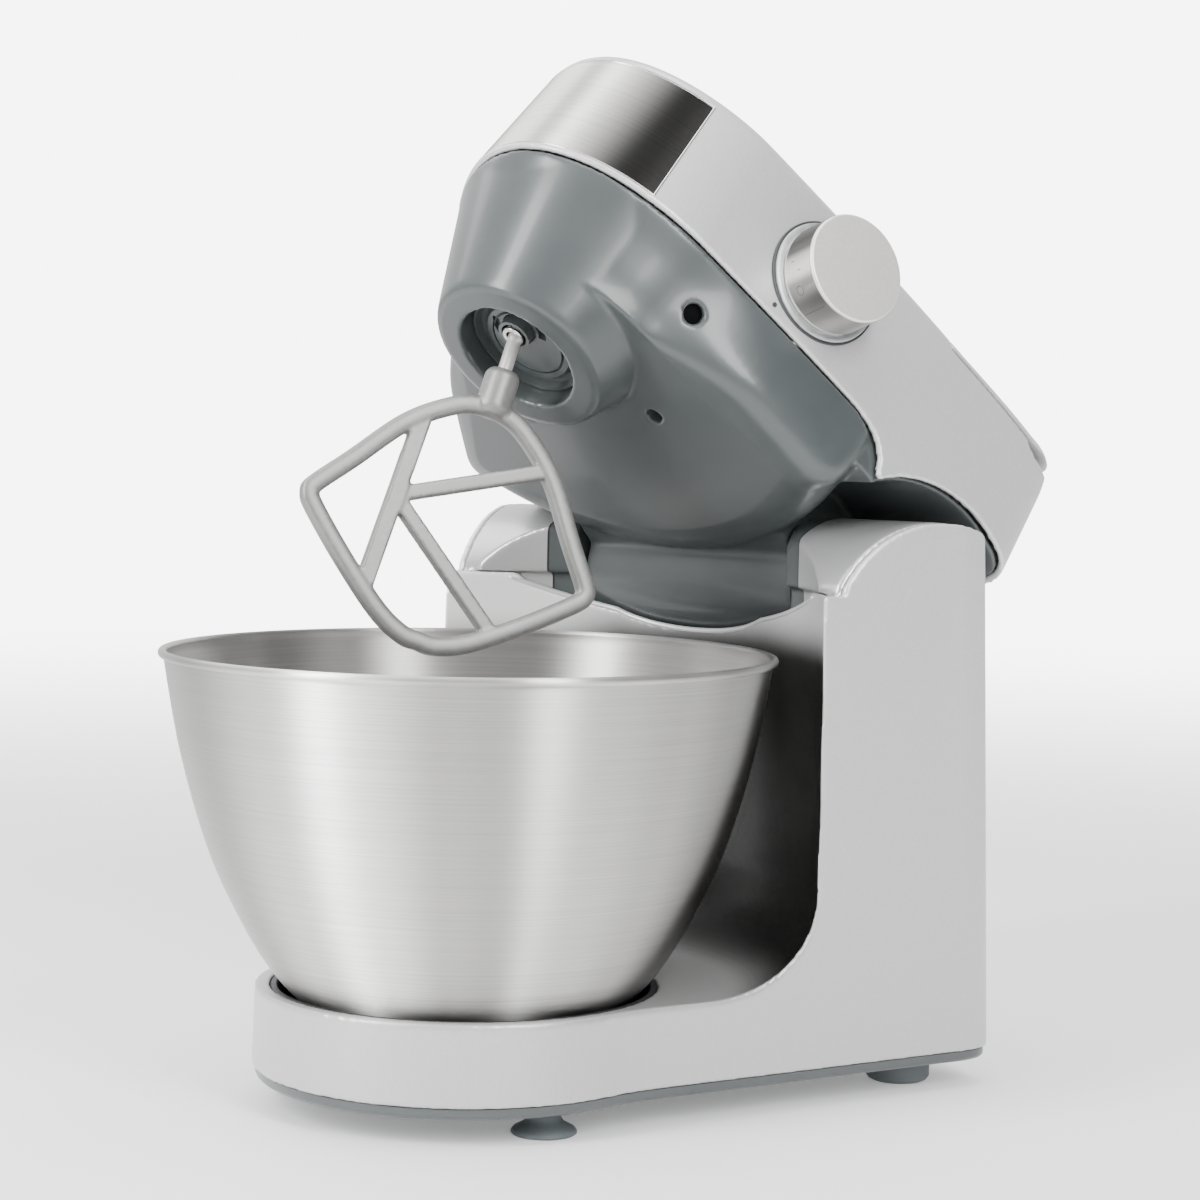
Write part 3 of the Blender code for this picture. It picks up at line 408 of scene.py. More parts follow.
def grain(mat, scale, stretch=(1, 1, 1), turn=0.0, rough=(0.3, 0.5), bump=0.0, tint=None, detail=3):
    """Noise in the object's own space that varies roughness, colour and height."""
    shader = surface(mat)
    mapping, scaled = node(mat, "ShaderNodeMapping"), node(mat, "ShaderNodeMapping")
    mapping.inputs["Rotation"].default_value = (math.radians(turn), 0, 0)
    scaled.inputs["Scale"].default_value = stretch
    noise = node(mat, "ShaderNodeTexNoise", Scale=scale, Detail=detail)
    join(mat, node(mat, "ShaderNodeTexCoord").outputs["Object"], mapping.inputs["Vector"])
    join(mat, mapping.outputs["Vector"], scaled.inputs["Vector"])
    join(mat, scaled.outputs["Vector"], noise.inputs["Vector"])
    spread = node(mat, "ShaderNodeMapRange")
    spread.inputs["To Min"].default_value, spread.inputs["To Max"].default_value = rough
    join(mat, noise.outputs["Fac"], spread.inputs["Value"])
    join(mat, spread.outputs["Result"], shader.inputs["Roughness"])
    if tint:
        ramp = node(mat, "ShaderNodeValToRGB")
        for stop, position, color in zip(ramp.color_ramp.elements, (0.3, 0.7), tint):
            stop.position, stop.color = position, (*color, 1)
        join(mat, noise.outputs["Fac"], ramp.inputs["Fac"])
        join(mat, ramp.outputs["Color"], shader.inputs["Base Color"])
    if bump:
        relief = node(mat, "ShaderNodeBump", Strength=1.0, Distance=bump)
        join(mat, noise.outputs["Fac"], relief.inputs["Height"])
        join(mat, relief.outputs["Normal"], shader.inputs["Normal"])
    return mat


def paint_of(mat):
    return surface(mat).inputs["Base Color"].links[0].from_socket


def laid_over(mat, factor, color):
    """Lay a colour over the base colour where the factor is 1."""
    mix = node(mat, "ShaderNodeMix", data_type="RGBA")
    join(mat, factor, mix.inputs["Factor"])
    join(mat, paint_of(mat), mix.inputs[6])
    mix.inputs[7].default_value = (*color, 1)
    join(mat, mix.outputs[2], surface(mat).inputs["Base Color"])


def tinted(mat, factor):
    """Multiply the base colour by a value from the nodes."""
    scale = node(mat, "ShaderNodeVectorMath", operation="SCALE")
    join(mat, paint_of(mat), scale.inputs[0])
    join(mat, factor, scale.inputs["Scale"])
    join(mat, scale.outputs["Vector"], surface(mat).inputs["Base Color"])


def brushed_round(mat, axis):
    """Brushing that runs round an axis, so reflections spread along it."""
    normal = node(mat, "ShaderNodeNewGeometry").outputs["Normal"]
    cross = node(mat, "ShaderNodeVectorMath", operation="CROSS_PRODUCT")
    cross.inputs[1].default_value = axis
    again = node(mat, "ShaderNodeVectorMath", operation="CROSS_PRODUCT")
    join(mat, normal, cross.inputs[0])
    join(mat, cross.outputs["Vector"], again.inputs[0])
    join(mat, normal, again.inputs[1])
    join(mat, again.outputs["Vector"], surface(mat).inputs["Tangent"])


def silver_paint(name):
    mat = principled(name, SILVER, 0.34, 0.35, Coat_Weight=0.25, Coat_Roughness=0.2)
    return grain(mat, 900, rough=(0.30, 0.42), bump=0.00002,
                 tint=(tuple(c * 0.96 for c in SILVER), tuple(c * 1.04 for c in SILVER)))


def grey_plastic(name):
    mat = principled(name, (0.062, 0.071, 0.0725), 0.3, Coat_Weight=0.15, Coat_Roughness=0.1)
    return grain(mat, 60, rough=(0.27, 0.34), bump=0.00001,
                 tint=((0.059, 0.068, 0.0695), (0.065, 0.074, 0.0755)))


def stand_paint_and_painted_light():
    """Silver paint, with painted shade that darkens the bowl's recess in the column, a painted highlight on
    the far arm's inner wall and painted shade that darkens it towards the bottom.
    """
    mat = silver_paint("stand_paint_and_painted_light")
    x, world_y, z = place_axes(mat)
    out_x, out_y = axes(mat, node(mat, "ShaderNodeNewGeometry").outputs["Normal"])[:2]
    y = math_node(mat, "SUBTRACT", world_y, BOWL_Y * MM)
    r = math_node(mat, "SQRT", math_node(mat, "ADD", product(mat, (x, x)), product(mat, (y, y))))
    dot = math_node(mat, "ADD", product(mat, (out_x, x)), product(mat, (out_y, y)))
    inward = math_node(mat, "MULTIPLY", math_node(mat, "DIVIDE", dot, r), -1)
    # painted shade: the recess in the column's front, behind the bowl, laid over near-black
    laid_over(mat, product(mat, (eased(mat, inward, 0.05, 0.75), eased(mat, r, 0.1392, 0.1380),
                                 eased(mat, r, 0.099, 0.112), eased(mat, y, 0.0, 0.02),
                                 eased(mat, z, 0.192, 0.170))), (0.010, 0.0095, 0.009))
    # painted highlight: the top of the far arm's inner wall laid over near-white, as if brightly lit
    laid_over(mat, product(mat, (eased(mat, inward, 0.05, 0.5), eased(mat, x, -0.035, -0.075),
                                 eased(mat, z, 0.160, 0.186))), (0.95, 0.95, 0.945))
    # painted shade: the paint darkened towards the bottom, down to 0.8 of its colour
    tinted(mat, math_node(mat, "MULTIPLY_ADD", eased(mat, z, 0.0, 0.19), 0.2, 0.8))
    return mat


def arm_liner():
    """Grey inner cheeks, silver over the outer part of each arm, with a dark parting line."""
    mat = grey_plastic("arm_liner")
    away = math_node(mat, "ABSOLUTE", place_axes(mat)[0])
    outer = eased(mat, away, 0.0686, 0.0690)
    laid_over(mat, eased(mat, away, 0.0678, 0.0682), (0.006, 0.0065, 0.007))
    laid_over(mat, outer, tuple(c * 0.85 for c in SILVER))
    join(mat, math_node(mat, "MULTIPLY", outer, 0.6), surface(mat).inputs["Metallic"])
    return mat


def band_steel():
    """Brushed steel with a painted dark reflection where it turns to each side of the head."""
    mat = principled("brushed_band", (0.62, 0.61, 0.59), 0.4, 1.0, Anisotropic=0.93)
    grain(mat, 9, (1, 1, 260), turn=TILT, rough=(0.34, 0.46), bump=0.00003,
          tint=((0.72, 0.71, 0.69), (0.92, 0.91, 0.885)), detail=6)
    away = math_node(mat, "ABSOLUTE", place_axes(mat)[0])
    # painted reflection: the steel darkened towards each side of the head
    tinted(mat, math_node(mat, "MULTIPLY_ADD", eased(mat, away, 0.004, 0.042), -0.97, 1.0))
    brushed_round(mat, HEAD_UP)
    return mat


def ring_ramp(mat, turn, stops):
    """Base colour multiplied by a ramp of (degrees, value) round an axis."""
    ramp = node(mat, "ShaderNodeValToRGB")
    elements = ramp.color_ramp.elements
    ramp.color_ramp.interpolation = "EASE"
    elements.remove(elements[1])
    for k, (angle, value) in enumerate(stops):
        where = (angle + 180) / 360
        spot = elements[0] if k == 0 else elements.new(where)
        spot.position, spot.color = where, (value, value, value, 1)
    join(mat, math_node(mat, "MULTIPLY_ADD", turn, 1 / (2 * math.pi), 0.5), ramp.inputs["Fac"])
    tinted(mat, ramp.outputs["Color"])


def knob_side_steel():
    """Brushed steel with bright and dark sectors of painted reflection round the knob's side."""
    mat = principled("knob_side", (0.56, 0.547, 0.525), 0.32, 1.0, Anisotropic=0.9)
    grain(mat, 60, (30, 1, 1), rough=(0.3, 0.4), bump=0.00001, detail=5,
          tint=((0.52, 0.508, 0.488), (0.60, 0.587, 0.566)))
    normal = node(mat, "ShaderNodeNewGeometry").outputs["Normal"]
    down, front = dot_with(mat, normal, [-c for c in HEAD_UP]), dot_with(mat, normal, HEAD_FRONT)
    # painted reflection: bright and dark sectors set by which way the side faces on the head
    ring_ramp(mat, math_node(mat, "ARCTAN2", down, front),
              ((-180, 0.8), (-120, 1.05), (-60, 0.5), (-20, 0.2), (8, 0.1), (20, 0.25), (32, 1.0), (46, 1.25),
               (60, 0.75), (76, 0.42), (94, 0.6), (110, 0.85), (128, 0.5), (150, 0.9), (180, 0.8)))
    brushed_round(mat, KNOB_AXIS)
    return mat


def bowl_steel():
    """Steel brushed round the bowl, with soft upright bands of painted reflection, brighter and darker, round
    it.
    """
    mat = principled("bowl_steel", (0.74, 0.73, 0.715), 0.44, 1.0, Anisotropic=0.95)
    grain(mat, 9, (1, 1, 220), rough=(0.38, 0.5), bump=0.00002,
          tint=((0.64, 0.632, 0.62), (0.80, 0.79, 0.775)), detail=6)
    x, y = place_axes(mat)[:2]
    turn = math_node(mat, "ARCTAN2", x, math_node(mat, "SUBTRACT", BOWL_Y * MM, y))
    # painted reflection: brighter and darker upright bands by the angle round the bowl
    ring_ramp(mat, turn, (
        (-180, 0.8), (-150, 0.55), (-120, 0.95), (-90, 0.7), (-60, 0.9), (-30, 0.62), (-16, 0.55), (4, 0.95),
        (18, 1.25), (26, 1.2), (40, 0.72), (52, 0.58), (60, 0.85), (72, 0.9), (86, 0.72), (100, 0.5),
        (120, 0.62), (140, 0.95), (160, 0.6), (180, 0.8)))
    brushed_round(mat, (0, 0, 1))
    return mat


def make_materials():
    mats = {"silver": silver_paint("silver_paint"), "grey": grey_plastic("grey_plastic"),
            "stand": stand_paint_and_painted_light(), "liner": arm_liner(), "band": band_steel(),
            "knob_side": knob_side_steel(), "bowl": bowl_steel()}
    for key, name, color, roughness, metallic, look in PLAIN_LOOKS:
        mats[key] = grain(principled(name, color, roughness, metallic), **look)
    shade = principled("deep_shade", (0.003, 0.0033, 0.0035), 0.9, Specular_IOR_Level=0.1)
    mats["shade"] = grain(shade, 200, rough=(0.85, 0.95))
    return mats


SILVER = (0.60, 0.605, 0.603)
HEAD_UP, HEAD_FRONT = (0, 0.725, 0.688), (0, -0.688, 0.725)
KNOB_AXIS = (0.93207, -0.24937, 0.26278)
# key, material name, colour, roughness, metallic and the grain of each material with no own function
PLAIN_LOOKS = (
    ("dark", "dark_plastic", (0.03, 0.032, 0.034), 0.45, 0,
     dict(scale=500, rough=(0.4, 0.55), bump=0.00002)),
    ("rubber", "rubber", (0.10, 0.115, 0.12), 0.6, 0, dict(scale=300, rough=(0.52, 0.7), bump=0.00003)),
    ("knob", "knob_metal", (0.82, 0.805, 0.77), 0.34, 0.5,
     dict(scale=700, rough=(0.28, 0.4), bump=0.00002, tint=((0.79, 0.775, 0.745), (0.85, 0.835, 0.80)))),
    ("beater", "beater_coating", (0.24, 0.24, 0.234), 0.40, 0.5,
     dict(scale=420, rough=(0.36, 0.52), bump=0.00004,
          tint=((0.225, 0.225, 0.22), (0.255, 0.255, 0.249)))),
    ("steel", "steel", (0.7, 0.695, 0.69), 0.18, 1,
     dict(scale=200, stretch=(1, 1, 6), rough=(0.12, 0.28), bump=0.00001)),
    ("alloy", "alloy", (0.45, 0.46, 0.47), 0.42, 0.9,
     dict(scale=260, rough=(0.34, 0.55), bump=0.00006, tint=((0.4, 0.41, 0.42), (0.5, 0.51, 0.52)))),
    ("core", "core", (0.16, 0.10, 0.07), 0.4, 0.5,
     dict(scale=6, stretch=(1, 1, 160), turn=TILT, rough=(0.3, 0.5), bump=0.00005)),
    ("board", "board", (0.02, 0.13, 0.05), 0.35, 0,
     dict(scale=150, rough=(0.3, 0.45), tint=((0.015, 0.1, 0.04), (0.03, 0.16, 0.06)))),
    ("ink", "ink", (0.12, 0.12, 0.118), 0.5, 0, dict(scale=300, rough=(0.45, 0.6))),
)
MATS = make_materials()
# the look of each material slot of the record
CAD_LOOKS = {"silver_paint": "silver", "grey_plastic": "grey", "dark_plastic": "dark",
             "grey_rubber": "rubber", "bowl_steel": "bowl", "brushed_band": "band", "knob_metal": "knob",
             "beater_coating": "beater", "steel": "steel", "alloy_casting": "alloy", "motor_core": "core",
             "board_green": "board"}


# ---- stand ----
def sweep(name, grow, top):
    profile = [(0, top), (0, BASE_TOP - grow)]
    wall = COLUMN_R + grow
    profile += arc(wall - FILLET_R, BASE_TOP - grow + FILLET_R, FILLET_R, -90, 0, 16)
    return lathe(name, profile + [(wall, top)], 220, phase=0.7)


def arm_profile():
    cy, cz = ARM_C
    start = math.degrees(math.acos((ARM_Y - cy) / ARM_R))
    top = arc(cy, cz, ARM_R, start, 49, 40)
    return ([(60, ARM_LEDGE_Z), (ARM_Y, ARM_LEDGE_Z)] + top
            + [(200, top[-1][1]), (200, 330), (60, 330)])


def stand_loft(name, shrink, low, high):
    outline = stand_outline()
    rings = [[(x, y, z) for x, y in inset(outline, shrink + (z - SILVER_LOW) * DRAFT)]
             for z in (low, high)]
    return loft(name, rings)


def dip(name):
    top = [(DIP_R * math.sin(math.radians(a)), DIP_Z + DIP_R * (1 - math.cos(math.radians(a))))
           for a in range(-20, 21)]
    return prism_y(name, top + [(DIP_X, 206), (-DIP_X, 206)], 96, 143)


def dip_lip():
    """Rounded lip along the low front edge between the arms."""
    path = []
    for k in range(-40, 41):
        x = DIP_X * k / 40
        y = math.sqrt((COLUMN_R + 1.0) ** 2 - x * x)
        rise = DIP_Z + DIP_R - math.sqrt(DIP_R ** 2 - x * x)
        drop = HINGE_Z - math.sqrt(max((DRUM_R + 1.5) ** 2 - (HINGE_Y - y) ** 2, 0))
        path.append((x, y, min(rise, drop) - 0.7))
    return tube("dip_lip", path, 1.25)


def trough(name, end, rear):
    x = DRUM_X + 1.5
    curve = arc(HINGE_Y, HINGE_Z, DRUM_R + 1.5, 200, end, 30)
    return prism_x(name, [(100, 300), (100, curve[0][1])] + curve + [(rear, curve[-1][1]), (rear, 300)],
                   -x, x)


def arm_corner(name, side):
    rings = []
    for x, r in ((56.5, 35.2), (74.5, 45.4)):
        loop = arc(HINGE_Y, HINGE_Z, r, 190, 110, 24) + arc(HINGE_Y, HINGE_Z, r + 40, 110, 190, 24)
        rings.append([(side * x, y, z) for y, z in loop])
    return loft(name, rings[::side])  # the order keeps the faces outward on both sides


def build_shell():
    shell = stand_loft("stand_shell", 0, SILVER_LOW, 240)
    hollow = stand_loft("c", WALL, 8, 250)
    cut(hollow, sweep("c", WALL, ARM_LEDGE_Z))
    cut(shell, sweep("c", 0, 330), hollow, prism_x("c", arm_profile(), -140, 140), dip("c"))
    cut(shell, lathe("c", [(0, 40), (SEAT_R, 40), (SEAT_R, 60), (0, 60)], 160, phase=1.3))
    cut(shell, trough("c", 270, HINGE_Y + 1), block("c", -59, 59, 160, 200, 200, 300))
    cut(shell, rod("c", (-140, LEVER_Y, LEVER_Z), (-100, LEVER_Y, LEVER_Z), 5.4))
    cut(shell, rod("c", (GLAND_X, 170, GLAND_Z), (GLAND_X, 190, GLAND_Z), 6.3))
    melt(shell, 1.0, 9)
    place(shell, STAND, "stand", MATS["stand"], ["base_shell"])
    place(dip_lip(), STAND, "stand", MATS["silver"])


def build_tray():
    outline = inset(stand_outline(), 1.4)
    steps = ((14.3, 2.2), (14.6, 1.2), (15.5, 0.3), (16.2, 0), (18.7, 0))
    plate = loft("base_tray", [[(x, y, z) for x, y in inset(outline, s)] for z, s in steps])
    place(plate, STAND, "stand", MATS["grey"], ["base_plate"], 40)


def build_arm_liner():
    liner = stand_loft("arm_liner", WALL + 0.4, 165, 240)
    wall = COLUMN_R + WALL + 0.4
    step = ARM_LEDGE_Z + GAP
    inner = [(0, 150), (wall, 150), (wall, step), (COLUMN_R, step), (COLUMN_R, 260), (0, 260)]
    cut(liner, lathe("c", inner, 220, phase=0.7))
    cut(liner, prism_x("c", arm_profile(), -140, 140), trough("c", 325, 200))
    cut(liner, arm_corner("c", -1), arm_corner("c", 1))
    cut(liner, rod("c", (-115, HINGE_Y, HINGE_Z), (115, HINGE_Y, HINGE_Z), 5.4))
    melt(liner, 1.0, 8)
    place(liner, STAND, "stand", MATS["liner"], ["saddle_liner"])


def build_seat():
    r, top = SEAT_R - GAP, BASE_TOP - 0.4
    profile = [(0, 27), (r, 27), (r, top - 0.5), (r - 0.5, top), (r - 2.1, top), (r - 2.6, top - 0.5),
               (r - 2.6, 29.5), (0, 29.5)]
    seat = lathe("seat_ring", profile, 160)
    for k in range(3):
        a = 90 + k * 120
        for low, r0, r1 in ((29, 56, 60), (36, 51.5, 58)):
            add(seat, prism("c", sector(r0, r1, a - 16, a + 16, 12), low, 39))
    place(seat, STAND, "stand", MATS["dark"], ["bowl_seat"], 40)


def build_feet():
    t = TABLE_Z
    for side, sx in (("left", -1), ("right", 1)):
        cup = [(0, t), (12.0, t), (12.5, t + 0.5), (12.5, t + 1.1), (11.6, t + 2.2), (9, t + 3.6),
               (7.2, t + 4.8), (6.5, t + 6.2), (6.5, 14), (0, 14)]
        foot = lathe(f"suction_cup_{side}", cup, 64, (sx * 60, -18))
        place(foot, STAND, "stand", MATS["rubber"], [f"suction_foot_{side}"], 50)
        pad = [(0, t), (10.6, t), (12, t + 0.7), (13, t + 2.2), (13, 14), (0, 14)]
        foot = lathe(f"foot_pad_{side}", pad, 64, (sx * 100, 152))
        place(foot, STAND, "stand", MATS["rubber"], [f"rear_foot_{side}"], 50)


def build_lever():
    y, z = LEVER_Y, LEVER_Z
    arm = rod("thumb_lever", (-127.5, y, z), (-119.4, y, z), 7.0, 64)
    add(arm, prism_x("c", arc(y, z, 6.4, -90, 90, 16) + arc(y - 25.2, z, 4.8, 90, 270, 16), -127.3, -121.5))
    bevelled(arm, 0.9, 4, 40)
    add(arm, rod("c", (-124, y, z), (-94, y, z), 5.0, 48))
    for k in range(4):
        groove = y - 19 - 2.4 * k
        cut(arm, rod("c", (-127.6, groove, z - 3.4), (-127.6, groove, z + 3.4), 0.7, 16))
    place(arm, STAND, "lever", MATS["grey"], ["release_lever"], 40)
    ring = lathe("lever_surround", [(7.3, 0), (9.6, 0), (9.9, 0.3), (9.6, 0.7), (7.6, 0.7), (7.3, 0.4)], 96)
    place(ring, STAND @ turned((-118.9, y, z), "Y"), "stand", MATS["dark"], (), 40)


def build_gland():
    profile = [(0, 0), (6, 0), (6, 8), (8.4, 8), (9, 8.6), (9, 10.6), (8.2, 11.6), (5.6, 12), (4.2, 11.7),
               (3.5, 10.8), (3.5, 6), (0, 6)]
    gland = lathe("cable_gland", profile, 64)
    home = STAND @ turned((GLAND_X, GLAND_Y, GLAND_Z), "X")
    place(gland, home, "stand", MATS["rubber"], ["cord_gland"], 40)


def build_bowl():
    below = ((2.2, 118), (40, 111), (78, 99.8), (106, 86.7), (124, 75.5), (136, 64), (140.6, 54), (141, 50))
    outside = [(r, RIM_Z - d) for d, r in spline(below, 8)]
    inside = [(r - 0.9 - 0.3 * max(d - 120, 0) / 20, RIM_Z - d + 0.9 * min(max((d - 110) / 25, 0), 1))
              for d, r in spline(below, 8)]
    bead = arc(118.3, RIM_Z - 1.65, 1.62, -70, 180, 14)
    shell = lathe("mixing_bowl", [(0, outside[-1][1])] + outside[::-1] + bead + inside
                  + [(0, inside[-1][1])], 192)
    place(shell, STAND, "bowl", MATS["bowl"], ["bowl"], 60)
    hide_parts("bowl_foot")
    foot = lathe("bowl_foot_ring", [(46, 30), (50, 30), (50, 38.8), (46, 38.8)], 96)
    for k in range(3):
        a = 90 + k * 120
        add(foot, prism("c", sector(48.5, 54.5, a - 12, a + 12, 8), 31.5, 35))
    place(foot, STAND, "bowl", MATS["bowl"], (), 40)


# ---- head ----
def skin(z, shrink=0.0):
    high = max((z - HEAD_TOP + 18) / 18, 0)
    lean = 0.055 * max(z - 224, 0) + 6 * high * high
    loop = inset(head_outline(), shrink + max(z - SEAM_Z, 0) * SKIN_DRAFT)
    return [(x, y - lean * min(max((y - 105) / 60, 0), 1)) for x, y in loop]


def head_rings(shrink, drop, low):
    rings = [[(x, y, z - drop) for x, y in skin(z, shrink)]
             for z in [low] + [z for z in (SEAM_Z, *span(HEAD_TOP - 18, HEAD_TOP - 5, 5)) if z > low]]
    for a in range(0, 91, 10):
        z = HEAD_TOP - 6 + 6 * math.sin(math.radians(a))
        extra = 9 * (1 - math.cos(math.radians(a)))
        rings.append([(x, y, z - drop) for x, y in pulled(skin(z, shrink), extra, -15, 120)])
    return rings


def seam_profile(lower=0.0):
    cy, cz = ARM_C
    z = SEAM_Z - lower
    r = SKIRT_R - lower
    tongue = bezier((70, z), (88, z), (95, z - 6), (97.2, z - 15), 12) + [(97.2, z - 15)]
    start = math.degrees(math.acos((99.5 - cy) / r))
    over_arm = arc(cy, cz, r, start, 50, 40)
    return [(-90, 140), (-90, z)] + tongue + over_arm + [(200, cz + r * 0.766), (200, 140)]


def lid_outline(z, shrink):
    rear = [(x, y) for x, y in skin(z, shrink) if y > LID_Y + 6]
    edge = head_side(LID_Y) - shrink - (z - SEAM_Z) * SKIN_DRAFT
    return ([(edge, LID_Y - 2)] + [p for p in rear if p[0] >= 0] + [p for p in rear if p[0] < 0]
            + [(-edge, LID_Y - 2)])


def knob_normal():
    slope = (head_side(KNOB_Y + 1) - head_side(KNOB_Y - 1)) / 2
    length = math.hypot(1, slope)
    return 1 / length, -slope / length


def build_cover():
    cover = loft("head_shell", head_rings(0, 0, 195))
    lid = block("c", -140, 140, LID_Y - GAP, 200, LID_Z - GAP, 300)
    cut(cover, loft("c", head_rings(SHELL, SHELL, 190)), prism_x("c", seam_profile(), -140, 140), lid)
    deck = loft("c", [[(x, y, z) for x, y in lid_outline(z, 1.2)] for z in (LID_Z - 3.6, LID_Z - 1)])
    cut(deck, lathe("c", [(0, 200), (20, 200), (20, 300), (0, 300)], 96, at=(0, MOTOR_Y)))
    add(cover, deck)
    nx, ny = knob_normal()
    x, y = head_side(KNOB_Y), KNOB_Y
    cut(cover, rod("c", (x - 20 * nx, y - 20 * ny, KNOB_Z), (x + 9 * nx, y + 9 * ny, KNOB_Z), 4.6, 48))
    cut(cover, rod("c", (111, 156, LID_Z + 18), (140, 171, LID_Z + 18), 22, 96))
    melt(cover, 1.1, 3)
    place(cover, HEAD, "head", MATS["silver"], ["head_cover"])


def build_lid():
    lid = loft("outlet_lid", head_rings(0, 0, LID_Z - 1))
    keep(lid, block("c", -140, 140, LID_Y + 0.4, 200, LID_Z + 0.35, 300))
    under = [(0, 270), (30, 270), (30, LID_Z + 3.4), (0, LID_Z + 3.4)]
    cut(lid, lathe("c", under, 64, at=(0, 128.2), phase=2.0))
    bevelled(lid, 0.35, 2, 50)
    place(lid, HEAD, "outlet_lid", MATS["silver"], ["outlet_cover"], 50)


def strip(name, low, high, out, end):
    """Part of a band round the head's front, between two heights, proud of the skin by out."""
    rings = []
    for z in span(low, high, 12) + [high]:
        lip = min(min(z - low, high - z) / 0.6, 1) ** 0.5 * 0.25
        ring = inset(head_outline(), (z - SEAM_Z) * SKIN_DRAFT - out + 0.25 - lip)
        rings.append([(x, y, z) for x, y in ring])
    band = loft(name, rings)
    core = [[(x, y, z) for x, y in inset(head_outline(), (z - SEAM_Z) * SKIN_DRAFT + BAND_DEPTH)]
            for z in (low - 9, high + 9)]
    return cut(band, loft("c", core), block("c", -150, 150, end, 200, 150, 350))


def outline_x(y, shrink):
    """Half width of the head's outline at y."""
    loop = inset(head_outline(), shrink)
    return max(a[0] + (b[0] - a[0]) * (y - a[1]) / (b[1] - a[1]) for a, b in zip(loop, loop[1:] + loop[:1])
               if (a[1] - y) * (b[1] - y) < 0)


def build_band():
    band = strip("steel_band", BAND_LOW, BAND_HIGH, 0.25, BAND_Y)
    place(band, HEAD, "head", MATS["band"], ["front_band"], 30)
    for name, low, high in (("band_lip_lower", BAND_LOW - 0.9, BAND_LOW - 0.25),
                            ("band_lip_upper", BAND_HIGH + 0.25, BAND_HIGH + 0.9)):
        place(strip(name, low, high, 0.35, BAND_Y + 0.5), HEAD, "head", MATS["steel"], (), 40)
    for side in (-1, 1):
        low, high = [(side * outline_x(BAND_Y + 0.5, (z - SEAM_Z) * SKIN_DRAFT + 0.15), BAND_Y + 0.5, z)
                     for z in (BAND_LOW - 0.6, BAND_HIGH + 0.6)]
        place(rod("band_end_right" if side > 0 else "band_end_left", low, high, 0.5, 16), HEAD, "head",
              MATS["steel"], (), 40)
    gap = strip("band_shadow_gap", BAND_LOW - 0.3, BAND_HIGH + 0.3, 0.06, BAND_Y + 0.55)
    place(gap, HEAD, "head", MATS["dark"], (), 40)


def belly_rings(shrink, lift, top):
    outline = belly_outline()
    rings = []
    steps = ((18, 22, 17), (20.5, 12, 16.5), (25, 5.5, 15), (32, 2.2, 12), (44, 1.2, 7), (56, 1.2, 1.2),
             (top, 1.2, 1.2))
    for q, side, front in spline(steps, 4):
        ring = []
        for x, y in outline:
            w = min(max((45 - y) / 55, 0), 1)
            d = shrink + side + (front - side) * w * w * (3 - 2 * w)
            length = math.hypot(x, y - 30)
            ring.append((x - x / length * d, y - (y - 30) / length * d, NOSE_Z + q + lift * (q < 40)))
        rings.append(ring)
    return rings


def inside_cover(shape, shrink):
    return keep(shape, loft("c", [[(x, y, z) for x, y in inset(head_outline(), shrink)] for z in (190, 260)]))


def screw_lines():
    z = NOSE_Z
    upper = [((side * 52, 14, z + 42), (side * 78, 3, z + 28), 4.2) for side in (1, -1)]
    lower = [((side * 33, 47, z + 44), (side * 33, 47, z + 8), 3.5) for side in (1, -1)]
    return upper + lower


def build_casing():
    q = NOSE_Z
    cone = [(0, q), (34.5, q), (36.8, q + 1), (37.9, q + 3), (59, SEAM_Z), (59, q + 60.5), (0, q + 60.5)]
    casing = lathe("head_casing", cone, 160)
    cy, cz = ARM_C
    pts = arc(cy, cz, ARM_R + 1.5, 148, 50, 40) + arc(cy, cz, ARM_R + 4, 50, 148, 40)
    deck = inside_cover(prism_x("c", pts, -140, 140), SHELL + 1.2)
    cheeks = inside_cover(block("c", -140, 140, 84, 101, 208.4, SEAM_Z + 3), SHELL + 1.2)
    add(casing, loft("c", belly_rings(0, 0, 61)))
    add(casing, block("c", 0.05 - DRUM_X, DRUM_X - 0.05, 105, 166, RIM_Z + 15, RIM_Z + 58))
    add(casing, prism_x("c", circle(HINGE_Y, HINGE_Z, DRUM_R, 96), -DRUM_X, DRUM_X))
    add(casing, deck)
    add(casing, cheeks)
    hollow = loft("c", belly_rings(SHELL + 0.5, SHELL, 66))
    x = DRUM_X - SHELL
    add(hollow, block("c", -x, x, 100, 163.5, RIM_Z + 17.5, RIM_Z + 90))
    drum = arc(HINGE_Y, HINGE_Z, DRUM_R - SHELL, 3, 363, 90)[:-1]
    add(hollow, prism_x("c", drum, 0.07 - x, x - 0.07))
    inner = [(0, q + 15), (28, q + 15), (28, q + 2.5), (35.4, q + 2.5), (56.3, SEAM_Z), (56.3, q + 68),
             (0, q + 68)]
    add(hollow, lathe("c", inner, 120, phase=2.0))
    cut(casing, hollow)
    rear = arc(HINGE_Y, HINGE_Z, 15.5, -68, 58, 24) + arc(HINGE_Y, HINGE_Z, 80, 58, -68, 24)
    cut(casing, prism_x("c", rear, -70, 70))
    mouth = [(0, 150), (25.2, 150), (25.2, q + 20), (0, q + 20)]
    cut(casing, lathe("c", mouth, 128, phase=3.0))
    pocket = prism_x("c", seam_profile(lower=GAP)[1:-1] + [(200, 300), (-90, 300)], -150, 150)
    wall = inset(head_outline(), SHELL + 1.1)
    cut(pocket, loft("c", [[(px, py, z) for px, py in wall] for z in (130, 320)]))
    cut(casing, pocket)
    cut(casing, rod("c", (-70, HINGE_Y, HINGE_Z), (70, HINGE_Y, HINGE_Z), 5.1))
    cut(casing, *[rod("c", deep, mouth, r) for deep, mouth, r in screw_lines()])
    melt(casing, 1.0, 7)
    place(casing, HEAD, "head", MATS["grey"], ["head_underside"])


